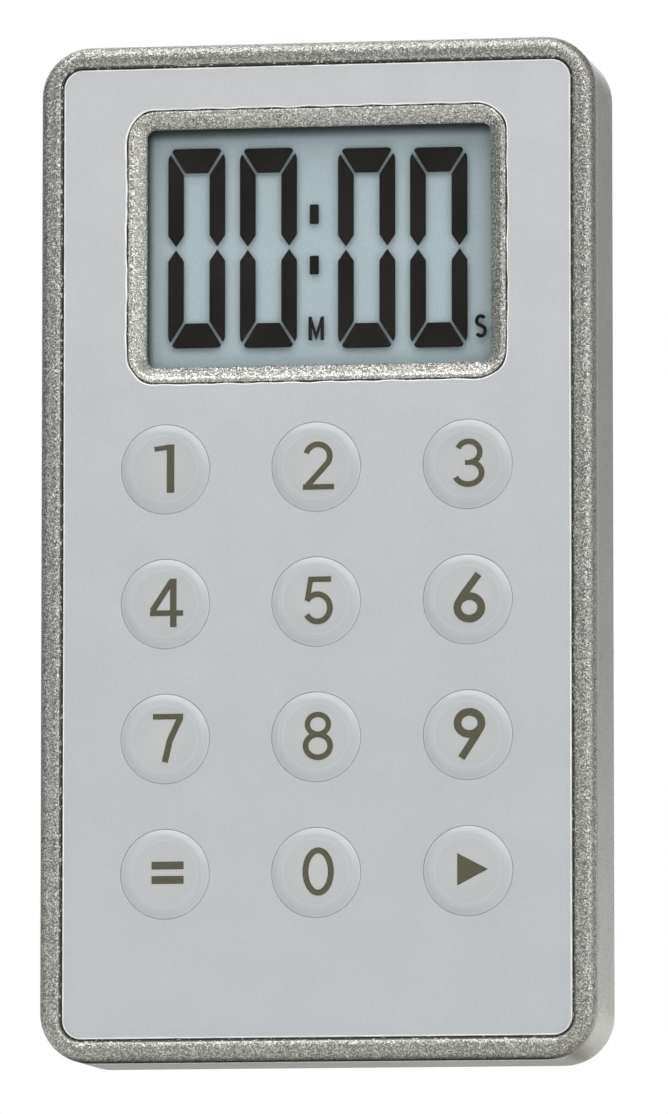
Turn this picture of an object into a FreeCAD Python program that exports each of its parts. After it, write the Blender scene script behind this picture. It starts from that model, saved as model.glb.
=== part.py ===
"""Slim kitchen countdown timer with twelve keys, a fold-out stand and fridge magnets.

The timer stands upright on its bottom edge: +Z is up, the display and keys face -Y and
+X is to the right of someone reading the display. The origin is at the middle of the
bottom. Depths are measured backwards, towards +Y, from the crest of the front rim.
"""
import FreeCAD, Part
import Sketcher
import math
import os
import re

V = FreeCAD.Vector

# Driving sizes in millimetres and degrees: name, size, meaning.
SIZES = [
    ("case_width", 56.0, "case, side to side"),
    ("case_height", 102.0, "case, bottom to top"),
    ("case_depth", 15.0, "case, rim crest to back"),
    ("corner_radius", 5.0, "case corners seen from the front"),
    ("wall", 1.6, "side walls of both shells"),
    ("back_wall", 1.5, "back wall of the rear case"),
    ("back_round", 1.5, "rounding of the back edge"),
    ("rim_width", 2.35, "rim, from the case's outside to the overlay"),
    ("rim_skirt", 2.8, "depth of the joint line between the shells"),
    ("rim_outer_round", 1.3, "outer rounding of the rim"),
    ("rim_inner_round", 0.6, "inner rounding of the rim"),
    ("lip_height", 1.5, "tongue of the front case inside the rear case"),
    ("lip_gap", 0.05, "clearance around the tongue"),
    ("overlay_drop", 0.4, "overlay's face below the rim crest"),
    ("overlay_thickness", 0.25, "printed keypad film"),
    ("overlay_gap", 0.15, "gap between the film and the rim"),
    ("overlay_corner", 1.9, "corners of the film"),
    ("glue_thickness", 0.1, "adhesive under the film"),
    ("glue_inset", 0.5, "adhesive's edge inside the film's edge"),
    ("glue_retreat", 0.3, "adhesive's openings beyond the film's"),
    ("deck_thickness", 1.3, "front wall under the film"),
    ("key_radius", 4.4, "key cap"),
    ("key_gap", 0.1, "clearance around a key cap"),
    ("column_pitch", 15.25, "between key columns"),
    ("row_pitch", 13.5, "between key rows"),
    ("bottom_row", 18.7, "height of the lowest key row"),
    ("key_crown", 0.35, "height of a cap's dome"),
    ("key_proud", 0.05, "cap's edge above the film"),
    ("key_flange", 0.8, "how far the hidden flange reaches out"),
    ("flange_thickness", 0.5, "hidden flange of a key"),
    ("flange_gap", 0.1, "flange to the deck at rest"),
    ("stem_radius", 1.6, "stem that presses the dome"),
    ("dome_radius", 4.0, "metal snap dome"),
    ("dome_height", 0.5, "metal snap dome"),
    ("dome_metal", 0.1, "metal snap dome's thickness"),
    ("dome_gap", 0.05, "stem to dome at rest"),
    ("dome_sheet_thickness", 0.15, "film that places the domes"),
    ("dome_sheet_edge", 1.5, "film beyond the outer domes, and its corners"),
    ("dome_sheet_gap", 0.15, "film around each dome"),
    ("post_gap", 0.2, "film and board around posts"),
    ("view_width", 34.8, "opening over the display"),
    ("view_height", 24.0, "opening over the display"),
    ("view_centre", 81.6, "height of the display's middle"),
    ("view_corner", 0.9, "corners of the opening"),
    ("bevel", 1.3, "sloping edge around the opening"),
    ("bezel_land", 0.4, "flat ring outside the slope"),
    ("bezel_drop", 0.05, "flat ring below the film's face"),
    ("bezel_corner", 2.9, "outer corners of the ring"),
    ("bezel_gap", 0.12, "ring to the film"),
    ("fit_gap", 0.05, "gap between stacked display parts"),
    ("window_margin", 2.0, "window beyond the opening"),
    ("window_thickness", 0.8, "clear window"),
    ("film_thickness", 0.15, "polariser and reflector"),
    ("glass_thickness", 0.7, "each glass of the display"),
    ("glass_margin_x", 2.1, "glass beyond the opening at the sides"),
    ("glass_margin_z", 3.0, "glass beyond the opening above and below"),
    ("ledge", 2.4, "contact ledge of the front glass"),
    ("zebra_width", 1.2, "rubber connector strip"),
    ("zebra_inset", 1.0, "strip's ends inside the glass's ends"),
    ("frame_wall", 0.9, "display frame"),
    ("frame_gap", 0.1, "display frame to what it holds"),
    ("board_gap", 4.15, "deck to circuit board"),
    ("board_thickness", 1.0, "circuit board"),
    ("board_inset", 1.2, "circuit board to the inner walls"),
    ("boss_inset_x", 4.4, "case screws in from the sides"),
    ("boss_inset_z", 5.6, "case screws in from the ends"),
    ("boss_radius", 2.4, "front screw bosses"),
    ("boss_rise", 0.8, "front bosses beyond the circuit board"),
    ("boss_gap", 0.1, "front bosses to rear bosses"),
    ("rear_boss_radius", 3.0, "rear screw bosses"),
    ("post_radius", 1.8, "posts for the circuit board"),
    ("case_screw_radius", 0.95, "case screws"),
    ("board_screw_radius", 0.75, "board screws"),
    ("screw_gap", 0.03, "screw in its pilot hole"),
    ("screw_room", 0.2, "clearance around a screw that passes through"),
    ("pilot_floor", 0.6, "solid deck in front of a pilot hole"),
    ("tip_room", 0.3, "pilot hole beyond a board screw's tip"),
    ("case_tip_room", 1.4, "pilot hole beyond a case screw's tip"),
    ("head_overhang", 1.0, "case screw head beyond its shank"),
    ("head_thickness", 1.2, "case screw heads"),
    ("board_head_thickness", 0.8, "board screw heads"),
    ("head_sink", 3.5, "seat of a case screw head below the back"),
    ("stand_width", 30.0, "fold-out stand"),
    ("stand_length", 38.0, "fold-out stand, hinge to tip"),
    ("stand_thickness", 2.0, "fold-out stand"),
    ("stand_corner", 3.75, "corners of the stand's tip"),
    ("stand_gap", 0.3, "gap around the stand"),
    ("stand_sink", 0.15, "stand below the back"),
    ("nail_notch", 3.0, "notch for lifting the stand's tip"),
    ("notch_depth", 0.9, "that notch below the back"),
    ("hinge_height", 66.5, "stand's hinge above the bottom"),
    ("pin_radius", 0.7, "stand's hinge pins"),
    ("pin_length", 1.2, "stand's hinge pins"),
    ("pin_gap", 0.05, "clearance around a hinge pin"),
    ("recess_skin", 1.2, "wall behind each recess"),
    ("magnet_radius", 7.0, "fridge magnets"),
    ("magnet_thickness", 2.2, "fridge magnets"),
    ("magnet_gap", 0.1, "magnet in its pocket"),
    ("magnet_offset", 17.5, "magnets from the middle"),
    ("magnet_height", 86.0, "magnets above the bottom"),
    ("sounder_radius", 7.5, "piezo disc"),
    ("sounder_height", 84.0, "piezo disc above the bottom"),
    ("sounder_metal", 0.2, "piezo disc's thickness"),
    ("sounder_chamber", 1.3, "air behind the piezo disc"),
    ("wire_radius", 0.3, "sounder's wires"),
    ("wire_run", 3.0, "wires leave the board this far below the disc"),
    ("sounder_seat", 0.9, "width of the disc's glued edge"),
    ("sounder_rim", 0.3, "seat beyond the disc"),
    ("ceramic_radius", 4.8, "ceramic on the piezo disc"),
    ("sound_hole_radius", 0.6, "sound holes"),
    ("sound_hole_ring", 2.6, "circle of the sound holes"),
    ("cell_radius", 5.8, "button cell"),
    ("cell_height", 5.4, "button cell"),
    ("cell_centre", 15.5, "button cell above the bottom"),
    ("cell_gap", 0.15, "button cell in its holder"),
    ("holder_wall", 1.0, "battery holder"),
    ("holder_height", 4.5, "battery holder"),
    ("contact_metal", 0.2, "contact strip"),
    ("contact_width", 4.0, "contact strips"),
    ("contact_foot", 2.2, "soldered foot of the side contact"),
    ("resin_bulge", 8.5, "radius of the chip's resin drop"),
    ("resin_height", 1.3, "resin drop"),
    ("crystal_radius", 1.0, "timing crystal's can"),
    ("crystal_length", 6.0, "timing crystal's can"),
    ("door_radius", 8.6, "battery door"),
    ("door_gap", 0.12, "clearance around the battery door"),
    ("door_thickness", 1.1, "visible disc of the battery door"),
    ("hub_radius", 7.4, "battery door's hub"),
    ("hub_height", 0.9, "battery door's hub"),
    ("lug_radius", 8.3, "reach of the locking lugs"),
    ("lug_width", 5.2, "locking lugs"),
    ("lug_thickness", 0.45, "locking lugs"),
    ("lug_room", 0.65, "ring in front of the lugs"),
    ("ring_wall", 1.7, "ring around the lugs"),
    ("slot_width", 1.8, "coin slot"),
    ("slot_depth", 0.7, "coin slot"),
    ("slot_length", 10.4, "coin slot"),
    ("keeper", 0.4, "lip that holds the lugs"),
    ("door_turn", 40.0, "turn that frees the lugs, degrees"),
]

# Depths behind the rim crest, worked out from the sizes above.
DECK = "(overlay_drop + overlay_thickness + glue_thickness)"
DECK_BACK = f"({DECK} + deck_thickness)"
BOARD = f"({DECK_BACK} + board_gap)"
BOARD_BACK = f"({BOARD} + board_thickness)"
BACK_INSIDE = "(case_depth - back_wall)"
FILM_WIDTH = "(case_width - 2 * rim_width)"
FILM_HEIGHT = "(case_height - 2 * rim_width)"
CUTOUT_MARGIN = "(bevel + bezel_land + bezel_gap)"
GLASS_WIDTH = "(view_width + 2 * glass_margin_x)"
GLASS_HEIGHT = "(view_height + 2 * glass_margin_z)"
MIDDLE = ("0", "case_height / 2")
VIEW = ("0", "view_centre")

KEYS = ["1", "2", "3", "4", "5", "6", "7", "8", "9", "clear", "0", "start"]

doc = FreeCAD.newDocument("kitchen_timer")
sheet = doc.addObject("Spreadsheet::Sheet", "dims")
for row, (name, size, meaning) in enumerate(SIZES, start=1):
    sheet.set(f"A{row}", name)
    sheet.set(f"B{row}", str(size))
    sheet.set(f"C{row}", meaning)
    sheet.setAlias(f"B{row}", name)
doc.recompute()

nodes = []


def cells(expression):
    """The expression with each size's name pointed at its cell."""
    return re.sub(r"[a-z_]{4,}", lambda word: "dims." + word.group(0), expression)


def number(expression):
    """What the expression is worth now, in millimetres."""
    return float(sheet.evalExpression(cells(expression)))


def node(thing, label):
    """Keeps a finished sub-part under its own label, which names its file."""
    thing.Label = label
    nodes.append(thing)
    return thing


# ---- sketches and features -------------------------------------------------------------

def new_body(name):
    return doc.addObject("PartDesign::Body", name)


def new_sketch(body, depth):
    """A sketch that faces the front and lies `depth` behind the rim crest."""
    sketch = body.newObject("Sketcher::SketchObject", body.Name + "_sketch")
    planes = [face for face in body.Origin.OriginFeatures if face.Role == "XZ_Plane"]
    sketch.AttachmentSupport = [(planes[0], "")]
    sketch.MapMode = "FlatFace"
    sketch.setExpression("AttachmentOffset.Base.z", cells(f"case_depth / 2 - ({depth})"))
    return sketch


def side_sketch(body):
    """A sketch on the plane between left and right, with +Y and +Z as its axes."""
    sketch = body.newObject("Sketcher::SketchObject", body.Name + "_side_sketch")
    planes = [face for face in body.Origin.OriginFeatures if face.Role == "YZ_Plane"]
    sketch.AttachmentSupport = [(planes[0], "")]
    sketch.MapMode = "FlatFace"
    return sketch


def measure(sketch, kind, points, expression):
    """Adds a dimension and ties it to the sheet."""
    index = sketch.addConstraint(Sketcher.Constraint(kind, *points, number(expression)))
    sketch.setExpression(f"Constraints[{index}]", cells(expression))


def circle(sketch, centre, radius):
    middle = V(number(centre[0]), number(centre[1]), 0)
    ring = sketch.addGeometry(Part.Circle(middle, V(0, 0, 1), number(radius)))
    measure(sketch, "DistanceX", (-1, 1, ring, 3), centre[0])
    measure(sketch, "DistanceY", (-1, 1, ring, 3), centre[1])
    measure(sketch, "Radius", (ring,), radius)


def rectangle(sketch, centre, width, height):
    """Four lines about a centre; the first runs along the bottom."""
    across = number(width) / 2
    up = number(height) / 2
    middle = V(number(centre[0]), number(centre[1]), 0)
    corners = [
        middle + V(-across, -up, 0),
        middle + V(across, -up, 0),
        middle + V(across, up, 0),
        middle + V(-across, up, 0),
    ]
    base = sketch.GeometryCount
    for start, end in zip(corners, corners[1:] + corners[:1]):
        sketch.addGeometry(Part.LineSegment(start, end))
    for side in range(4):
        after = base + (side + 1) % 4
        sketch.addConstraint(Sketcher.Constraint("Coincident", base + side, 2, after, 1))
        kind = "Horizontal" if side % 2 == 0 else "Vertical"
        sketch.addConstraint(Sketcher.Constraint(kind, base + side))
    measure(sketch, "DistanceX", (base, 1, base, 2), width)
    measure(sketch, "DistanceY", (base + 1, 1, base + 1, 2), height)
    measure(sketch, "DistanceX", (-1, 1, base, 1), f"{centre[0]} - ({width}) / 2")
    measure(sketch, "DistanceY", (-1, 1, base, 1), f"{centre[1]} - ({height}) / 2")


def rounded_rectangle(sketch, centre, width, height, corner):
    """Four sides and four tangent arcs about a centre."""
    x = number(centre[0])
    z = number(centre[1])
    across = number(width) / 2
    up = number(height) / 2
    bend = number(corner)
    base = sketch.GeometryCount
    sides = [
        (V(x - across + bend, z - up), V(x + across - bend, z - up)),
        (V(x + across, z - up + bend), V(x + across, z + up - bend)),
        (V(x + across - bend, z + up), V(x - across + bend, z + up)),
        (V(x - across, z + up - bend), V(x - across, z - up + bend)),
    ]
    for start, end in sides:
        sketch.addGeometry(Part.LineSegment(start, end))
    for quarter, (side_x, side_z) in enumerate([(1, -1), (1, 1), (-1, 1), (-1, -1)]):
        middle = V(x + side_x * (across - bend), z + side_z * (up - bend), 0)
        first = (quarter - 1) * math.pi / 2
        ring = Part.Circle(middle, V(0, 0, 1), bend)
        sketch.addGeometry(Part.ArcOfCircle(ring, first, first + math.pi / 2))
    for side in range(4):
        arc = base + 4 + side
        after = base + (side + 1) % 4
        sketch.addConstraint(Sketcher.Constraint("Tangent", base + side, 2, arc, 1))
        sketch.addConstraint(Sketcher.Constraint("Tangent", arc, 2, after, 1))
        kind = "Horizontal" if side % 2 == 0 else "Vertical"
        sketch.addConstraint(Sketcher.Constraint(kind, base + side))
        if side:
            sketch.addConstraint(Sketcher.Constraint("Equal", base + 4, arc))
    measure(sketch, "Radius", (base + 4,), corner)
    measure(sketch, "DistanceX", (base + 3, 1, base + 1, 1), width)
    measure(sketch, "DistanceY", (base, 1, base + 2, 1), height)
    measure(sketch, "DistanceX", (-1, 1, base + 1, 1), f"{centre[0]} + ({width}) / 2")
    measure(sketch, "DistanceY", (-1, 1, base + 2, 1), f"{centre[1]} + ({height}) / 2")


def pad(body, sketch, length):
    """Grows the sketch backwards, towards +Y."""
    feature = body.newObject("PartDesign::Pad", body.Name + "_pad")
    feature.Profile = sketch
    feature.Reversed = True
    feature.setExpression("Length", cells(length))
    doc.recompute()
    return feature


def pocket(body, sketch, length, both_ways=False):
    """Cuts the sketch backwards, towards +Y, or half the length to either side of it."""
    before = body.Shape.Volume
    feature = body.newObject("PartDesign::Pocket", body.Name + "_pocket")
    feature.Profile = sketch
    feature.Midplane = both_ways
    feature.setExpression("Length", cells(length))
    doc.recompute()
    if body.Shape.Volume >= before:
        raise ValueError(f"a pocket in {body.Name} removes nothing")
    return feature


def fillet(body, chosen, radius):
    """Rounds every edge of the body for which chosen(edge) is true."""
    base = body.Tip
    names = [f"Edge{i}" for i, edge in enumerate(base.Shape.Edges, start=1) if chosen(edge)]
    feature = body.newObject("PartDesign::Fillet", body.Name + "_fillet")
    feature.Base = (base, names)
    feature.setExpression("Radius", cells(radius))
    doc.recompute()
    return feature


def runs_along_y(edge):
    """True for a straight edge from front to back."""
    box = edge.BoundBox
    return box.YLength > 1e-4 and box.XLength < 1e-4 and box.ZLength < 1e-4


def lies_at(depth, half_width, half_height, centre=MIDDLE):
    """Picks edges at one depth whose middle is on a given rectangle's border."""
    y = number(depth) - number("case_depth") / 2
    across = number(half_width)
    up = number(half_height)
    middle = number(centre[1])

    def chosen(edge):
        box = edge.BoundBox
        flat = abs(box.YMin - y) < 1e-4 and abs(box.YMax - y) < 1e-4
        at_side = abs(max(abs(box.XMin), abs(box.XMax)) - across) < 1e-3
        reach = max(abs(box.ZMin - middle), abs(box.ZMax - middle))
        return flat and (at_side or abs(reach - up) < 1e-3)

    return chosen


def rounded_plate(name, depth, thickness, centre, width, height, corner):
    """A flat plate with rounded corners: the start of most of the sheet-like pieces."""
    body = new_body(name)
    sketch = new_sketch(body, depth)
    rounded_rectangle(sketch, centre, width, height, corner)
    pad(body, sketch, thickness)
    return body


def rounded_pocket(body, depth, length, centre, width, height, corner):
    """A pocket with rounded corners."""
    sketch = new_sketch(body, depth)
    rounded_rectangle(sketch, centre, width, height, corner)
    pocket(body, sketch, length)


# ---- primitives ------------------------------------------------------------------------

def place(thing, x, depth, z):
    """Puts a primitive at a point given as expressions."""
    thing.setExpression("Placement.Base.x", cells(x))
    thing.setExpression("Placement.Base.y", cells(f"({depth}) - case_depth / 2"))
    thing.setExpression("Placement.Base.z", cells(z))
    return thing


def rod(name, centre, depth, radius, length):
    """A cylinder that starts at a depth and runs backwards."""
    thing = doc.addObject("Part::Cylinder", name)
    thing.Placement = FreeCAD.Placement(V(0, 0, 0), FreeCAD.Rotation(V(1, 0, 0), -90))
    thing.setExpression("Radius", cells(radius))
    thing.setExpression("Height", cells(length))
    return place(thing, centre[0], depth, centre[1])


def block(name, centre, depth, width, height, thickness):
    """A box about a centre that starts at a depth and runs backwards."""
    thing = doc.addObject("Part::Box", name)
    thing.setExpression("Length", cells(width))
    thing.setExpression("Width", cells(thickness))
    thing.setExpression("Height", cells(height))
    left = f"{centre[0]} - ({width}) / 2"
    return place(thing, left, depth, f"{centre[1]} - ({height}) / 2")


def ball(name, centre, depth, radius):
    thing = doc.addObject("Part::Sphere", name)
    thing.setExpression("Radius", cells(radius))
    return place(thing, centre[0], depth, centre[1])


def joined(name, pieces):
    thing = doc.addObject("Part::MultiFuse", name)
    thing.Shapes = pieces
    return thing


def shared(name, pieces):
    thing = doc.addObject("Part::MultiCommon", name)
    thing.Shapes = pieces
    return thing


def cut(name, base, tool):
    thing = doc.addObject("Part::Cut", name)
    thing.Base = base
    thing.Tool = tool
    return thing


def group(name, pieces):
    """Separate solids of one kind kept as one sub-part."""
    thing = doc.addObject("Part::Compound", name)
    thing.Links = pieces
    return thing


def key_centre(index):
    """Centre of a key in the grid of four rows by three columns, top left first."""
    row, column = divmod(index, 3)
    return (f"{column - 1} * column_pitch", f"bottom_row + {3 - row} * row_pitch")


CASE_SCREWS = [
    (f"{side} * (case_width / 2 - boss_inset_x)", height)
    for side in (-1, 1)
    for height in ("boss_inset_z", "case_height - boss_inset_z")
]
BOARD_SCREWS = [
    (f"{side} * column_pitch / 2", f"bottom_row + {rows} * row_pitch")
    for side in (-1, 1)
    for rows in (0.5, 2.5)
]


# ---- the two shells --------------------------------------------------------------------

def front_case():
    """Rim, recessed deck with key holes, bevelled display opening, posts and bosses."""
    body = rounded_plate(
        "front_case", "0", "rim_skirt", MIDDLE, "case_width", "case_height", "corner_radius",
    )
    width = f"({FILM_WIDTH} + 2 * overlay_gap)"
    height = f"({FILM_HEIGHT} + 2 * overlay_gap)"
    corner = "overlay_corner + overlay_gap"
    rounded_pocket(body, "0", DECK, MIDDLE, width, height, corner)

    inside = ("case_width - 2 * wall", "case_height - 2 * wall", "corner_radius - wall")
    rounded_pocket(body, DECK_BACK, f"rim_skirt - {DECK_BACK}", MIDDLE, *inside)
    sketch = new_sketch(body, "rim_skirt")
    rounded_rectangle(sketch, MIDDLE, *inside)
    tongue = "wall + 2 * lip_gap"
    rounded_rectangle(
        sketch, MIDDLE, f"case_width - ({tongue})", f"case_height - ({tongue})",
        f"corner_radius - ({tongue}) / 2",
    )
    pad(body, sketch, "lip_height")

    sketch = new_sketch(body, "overlay_drop + bezel_drop")
    margin = "2 * (bevel + bezel_land)"
    rounded_rectangle(sketch, VIEW, f"view_width + {margin}", f"view_height + {margin}", "bezel_corner")
    pad(body, sketch, f"{DECK} - overlay_drop - bezel_drop")
    rounded_pocket(
        body, "overlay_drop + bezel_drop", f"{DECK_BACK} - overlay_drop - bezel_drop",
        VIEW, "view_width", "view_height", "view_corner",
    )
    edge = lies_at("overlay_drop + bezel_drop", "view_width / 2", "view_height / 2", VIEW)
    base = body.Tip
    names = [f"Edge{i}" for i, each in enumerate(base.Shape.Edges, start=1) if edge(each)]
    slope = body.newObject("PartDesign::Chamfer", "bezel_slope")
    slope.Base = (base, names)
    slope.setExpression("Size", cells("bevel"))
    doc.recompute()

    sketch = new_sketch(body, DECK)
    for index in range(len(KEYS)):
        circle(sketch, key_centre(index), "key_radius + key_gap")
    pocket(body, sketch, "deck_thickness")

    sketch = new_sketch(body, DECK_BACK)
    for centre in BOARD_SCREWS:
        circle(sketch, centre, "post_radius")
    pad(body, sketch, "board_gap")
    sketch = new_sketch(body, DECK_BACK)
    for centre in CASE_SCREWS:
        circle(sketch, centre, "boss_radius")
    pad(body, sketch, "board_gap + board_thickness + boss_rise")
    sketch = new_sketch(body, f"{DECK_BACK} + pilot_floor")
    for centre in BOARD_SCREWS:
        circle(sketch, centre, "board_screw_radius + screw_gap")
    pocket(body, sketch, "board_gap")
    sketch = new_sketch(body, f"{DECK_BACK} + pilot_floor")
    for centre in CASE_SCREWS:
        circle(sketch, centre, "case_screw_radius + screw_gap")
    pocket(body, sketch, "board_gap + board_thickness + boss_rise")

    outer = lies_at("0", "case_width / 2", "case_height / 2")
    fillet(body, outer, "rim_outer_round")
    inner = lies_at("0", f"{width} / 2", f"{height} / 2")
    fillet(body, inner, "rim_inner_round")
    return node(body, "front_case")


def rear_case():
    """Side walls and back, with the places for stand, magnets, sounder and battery."""
    body = rounded_plate(
        "rear_case", "rim_skirt", "case_depth - rim_skirt", MIDDLE,
        "case_width", "case_height", "corner_radius",
    )
    fillet(body, lies_at("case_depth", "case_width / 2", "case_height / 2"), "back_round")
    rounded_pocket(
        body, "rim_skirt", f"{BACK_INSIDE} - rim_skirt", MIDDLE,
        "case_width - 2 * wall", "case_height - 2 * wall", "corner_radius - wall",
    )
    rounded_pocket(
        body, "rim_skirt", "lip_height + lip_gap", MIDDLE,
        "case_width - wall", "case_height - wall", "corner_radius - wall / 2",
    )

    # Material added inside the back, each pad ending in the back wall.
    recess = "stand_thickness + stand_sink + stand_gap / 2"
    skin = f"(case_depth - ({recess}) - recess_skin)"
    recess_height = "(stand_length + stand_thickness / 2 + 2 * stand_gap)"
    stand_middle = f"(hinge_height + stand_thickness / 2 + stand_gap - {recess_height} / 2)"
    sketch = new_sketch(body, skin)
    side_wall = "(pin_length + recess_skin)"
    rectangle(
        sketch, ("0", stand_middle), f"stand_width + 2 * stand_gap + 2 * {side_wall}",
        f"{recess_height} + 2 * recess_skin",
    )
    pad(body, sketch, f"{BACK_INSIDE} - {skin}")

    magnet_pocket = "(magnet_thickness + magnet_gap)"
    magnet_skin = f"(case_depth - {magnet_pocket} - recess_skin)"
    magnets = [(f"{side} * magnet_offset", "magnet_height") for side in (-1, 1)]
    sketch = new_sketch(body, magnet_skin)
    for centre in magnets:
        circle(sketch, centre, "magnet_radius + magnet_gap + recess_skin")
    pad(body, sketch, f"{BACK_INSIDE} - {magnet_skin}")

    sounder = ("0", "sounder_height")
    sketch = new_sketch(body, f"{BACK_INSIDE} - sounder_chamber")
    circle(sketch, sounder, "sounder_radius + sounder_rim")
    circle(sketch, sounder, "sounder_radius - sounder_seat")
    pad(body, sketch, "sounder_chamber")

    cell = ("0", "cell_centre")
    groove = "(case_depth - door_thickness - keeper)"
    ring_front = f"({groove} - lug_thickness - lug_room)"
    sketch = new_sketch(body, ring_front)
    circle(sketch, cell, "lug_radius + ring_wall")
    pad(body, sketch, f"{BACK_INSIDE} - {ring_front}")

    boss_front = f"({BOARD_BACK} + boss_rise + boss_gap)"
    sketch = new_sketch(body, boss_front)
    for centre in CASE_SCREWS:
        circle(sketch, centre, "rear_boss_radius")
    pad(body, sketch, f"{BACK_INSIDE} - {boss_front}")
    sketch = new_sketch(body, boss_front)
    for centre in CASE_SCREWS:
        circle(sketch, centre, "case_screw_radius + screw_room")
    pocket(body, sketch, "case_depth")
    sketch = new_sketch(body, "case_depth - head_sink")
    for centre in CASE_SCREWS:
        circle(sketch, centre, "case_screw_radius + head_overhang + screw_room")
    pocket(body, sketch, "head_sink")

    # Recesses that open to the back.
    sketch = new_sketch(body, f"case_depth - ({recess})")
    rectangle(sketch, ("0", stand_middle), "stand_width + 2 * stand_gap", recess_height)
    pocket(body, sketch, recess)
    sketch = new_sketch(body, "case_depth - notch_depth")
    circle(sketch, ("0", "hinge_height - stand_length"), "nail_notch")
    pocket(body, sketch, "stand_thickness")
    sketch = new_sketch(body, f"case_depth - {magnet_pocket}")
    for centre in magnets:
        circle(sketch, centre, "magnet_radius + magnet_gap")
    pocket(body, sketch, magnet_pocket)

    sketch = side_sketch(body)
    axis = ("case_depth / 2 - stand_sink - stand_thickness / 2", "hinge_height")
    circle(sketch, axis, "pin_radius + pin_gap")
    pocket(body, sketch, "stand_width + 2 * stand_gap + 2 * pin_length", both_ways=True)

    sketch = new_sketch(body, f"{BACK_INSIDE} - fit_gap")
    circle(sketch, sounder, "sound_hole_radius")
    for turn in range(6):
        direction = FreeCAD.Rotation(V(0, 0, 1), 60 * turn).multVec(V(1, 0, 0))
        centre = (
            f"{direction.x:.4f} * sound_hole_ring",
            f"sounder_height + {direction.y:.4f} * sound_hole_ring",
        )
        circle(sketch, centre, "sound_hole_radius")
    pocket(body, sketch, "case_depth")

    sketch = new_sketch(body, ring_front)
    circle(sketch, cell, "lug_radius + cell_gap")
    pocket(body, sketch, f"{groove} - {ring_front}")
    sketch = new_sketch(body, ring_front)
    circle(sketch, cell, "hub_radius + door_gap")
    pocket(body, sketch, "case_depth")
    sketch = new_sketch(body, ring_front)
    rectangle(sketch, cell, "2 * (lug_radius + cell_gap)", "lug_width + 4 * door_gap")
    pocket(body, sketch, "case_depth")
    sketch = new_sketch(body, "case_depth - door_thickness")
    circle(sketch, cell, "door_radius + door_gap")
    pocket(body, sketch, "door_thickness")
    return node(body, "rear_case")


# ---- keypad ----------------------------------------------------------------------------

def film(label, depth, thickness, inset, hole_radius, cutout):
    """A thin sheet as large as the keypad, open at the keys and the display."""
    body = rounded_plate(
        label, depth, thickness, MIDDLE,
        f"{FILM_WIDTH} - 2 * {inset}", f"{FILM_HEIGHT} - 2 * {inset}", "overlay_corner",
    )
    width = f"(view_width + 2 * ({cutout}))"
    height = f"(view_height + 2 * ({cutout}))"
    rounded_pocket(body, depth, thickness, VIEW, width, height, "bezel_corner + bezel_gap")
    sketch = new_sketch(body, depth)
    for index in range(len(KEYS)):
        circle(sketch, key_centre(index), hole_radius)
    pocket(body, sketch, thickness)
    return node(body, label)


def key(index):
    """A domed cap through the deck, a flange that holds it in and a stem behind."""
    name = "key_" + KEYS[index]
    centre = key_centre(index)
    edge = "(overlay_drop - key_proud)"
    flange = f"({DECK_BACK} + flange_gap)"
    bulge = "((key_radius ^ 2 + key_crown ^ 2) / (2 * key_crown))"
    barrel = rod(
        name + "_barrel", centre, f"{edge} - 2 * key_crown", "key_radius",
        f"{flange} - {edge} + 2 * key_crown",
    )
    crown = ball(name + "_crown", centre, f"{edge} - key_crown + {bulge}", bulge)
    cap = shared(name + "_cap", [barrel, crown])
    collar = rod(name + "_collar", centre, flange, "key_radius + key_flange", "flange_thickness")
    stem = rod(
        name + "_stem", centre, flange, "stem_radius",
        f"{BOARD} - dome_height - dome_gap - {flange}",
    )
    return node(joined(name, [cap, collar, stem]), name)


def snap_dome(index):
    """A thin metal dome on the circuit board under one key."""
    name = "snap_dome_" + KEYS[index]
    centre = key_centre(index)
    bulge = "((dome_radius ^ 2 + dome_height ^ 2) / (2 * dome_height))"
    peak = f"({BOARD} - dome_height)"
    outer = ball(name + "_outer", centre, f"{peak} + {bulge}", bulge)
    inner = ball(name + "_inner", centre, f"{peak} + {bulge}", f"{bulge} - dome_metal")
    slab = rod(name + "_slab", centre, f"{peak} - dome_height", "dome_radius", "2 * dome_height")
    skin = cut(name + "_skin", outer, inner)
    return node(shared(name, [skin, slab]), name)


def dome_sheet():
    """Film on the board with a round opening for each snap dome."""
    width = "(2 * (column_pitch + dome_radius + dome_sheet_edge))"
    height = "(3 * row_pitch + 2 * (dome_radius + dome_sheet_edge))"
    centre = ("0", "bottom_row + 1.5 * row_pitch")
    depth = f"({BOARD} - dome_sheet_thickness)"
    body = rounded_plate(
        "dome_sheet", depth, "dome_sheet_thickness", centre, width, height, "dome_sheet_edge",
    )
    sketch = new_sketch(body, depth)
    for index in range(len(KEYS)):
        circle(sketch, key_centre(index), "dome_radius + dome_sheet_gap")
    for centre in BOARD_SCREWS:
        circle(sketch, centre, "post_radius + post_gap")
    pocket(body, sketch, "dome_sheet_thickness")
    return node(body, "dome_sheet")


# ---- display ---------------------------------------------------------------------------

WINDOW = f"({DECK_BACK} + fit_gap)"
POLARISER = f"({WINDOW} + window_thickness + fit_gap)"
GLASS = f"({POLARISER} + film_thickness)"
REAR_GLASS = f"({GLASS} + glass_thickness)"
REFLECTOR = f"({REAR_GLASS} + glass_thickness)"


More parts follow.
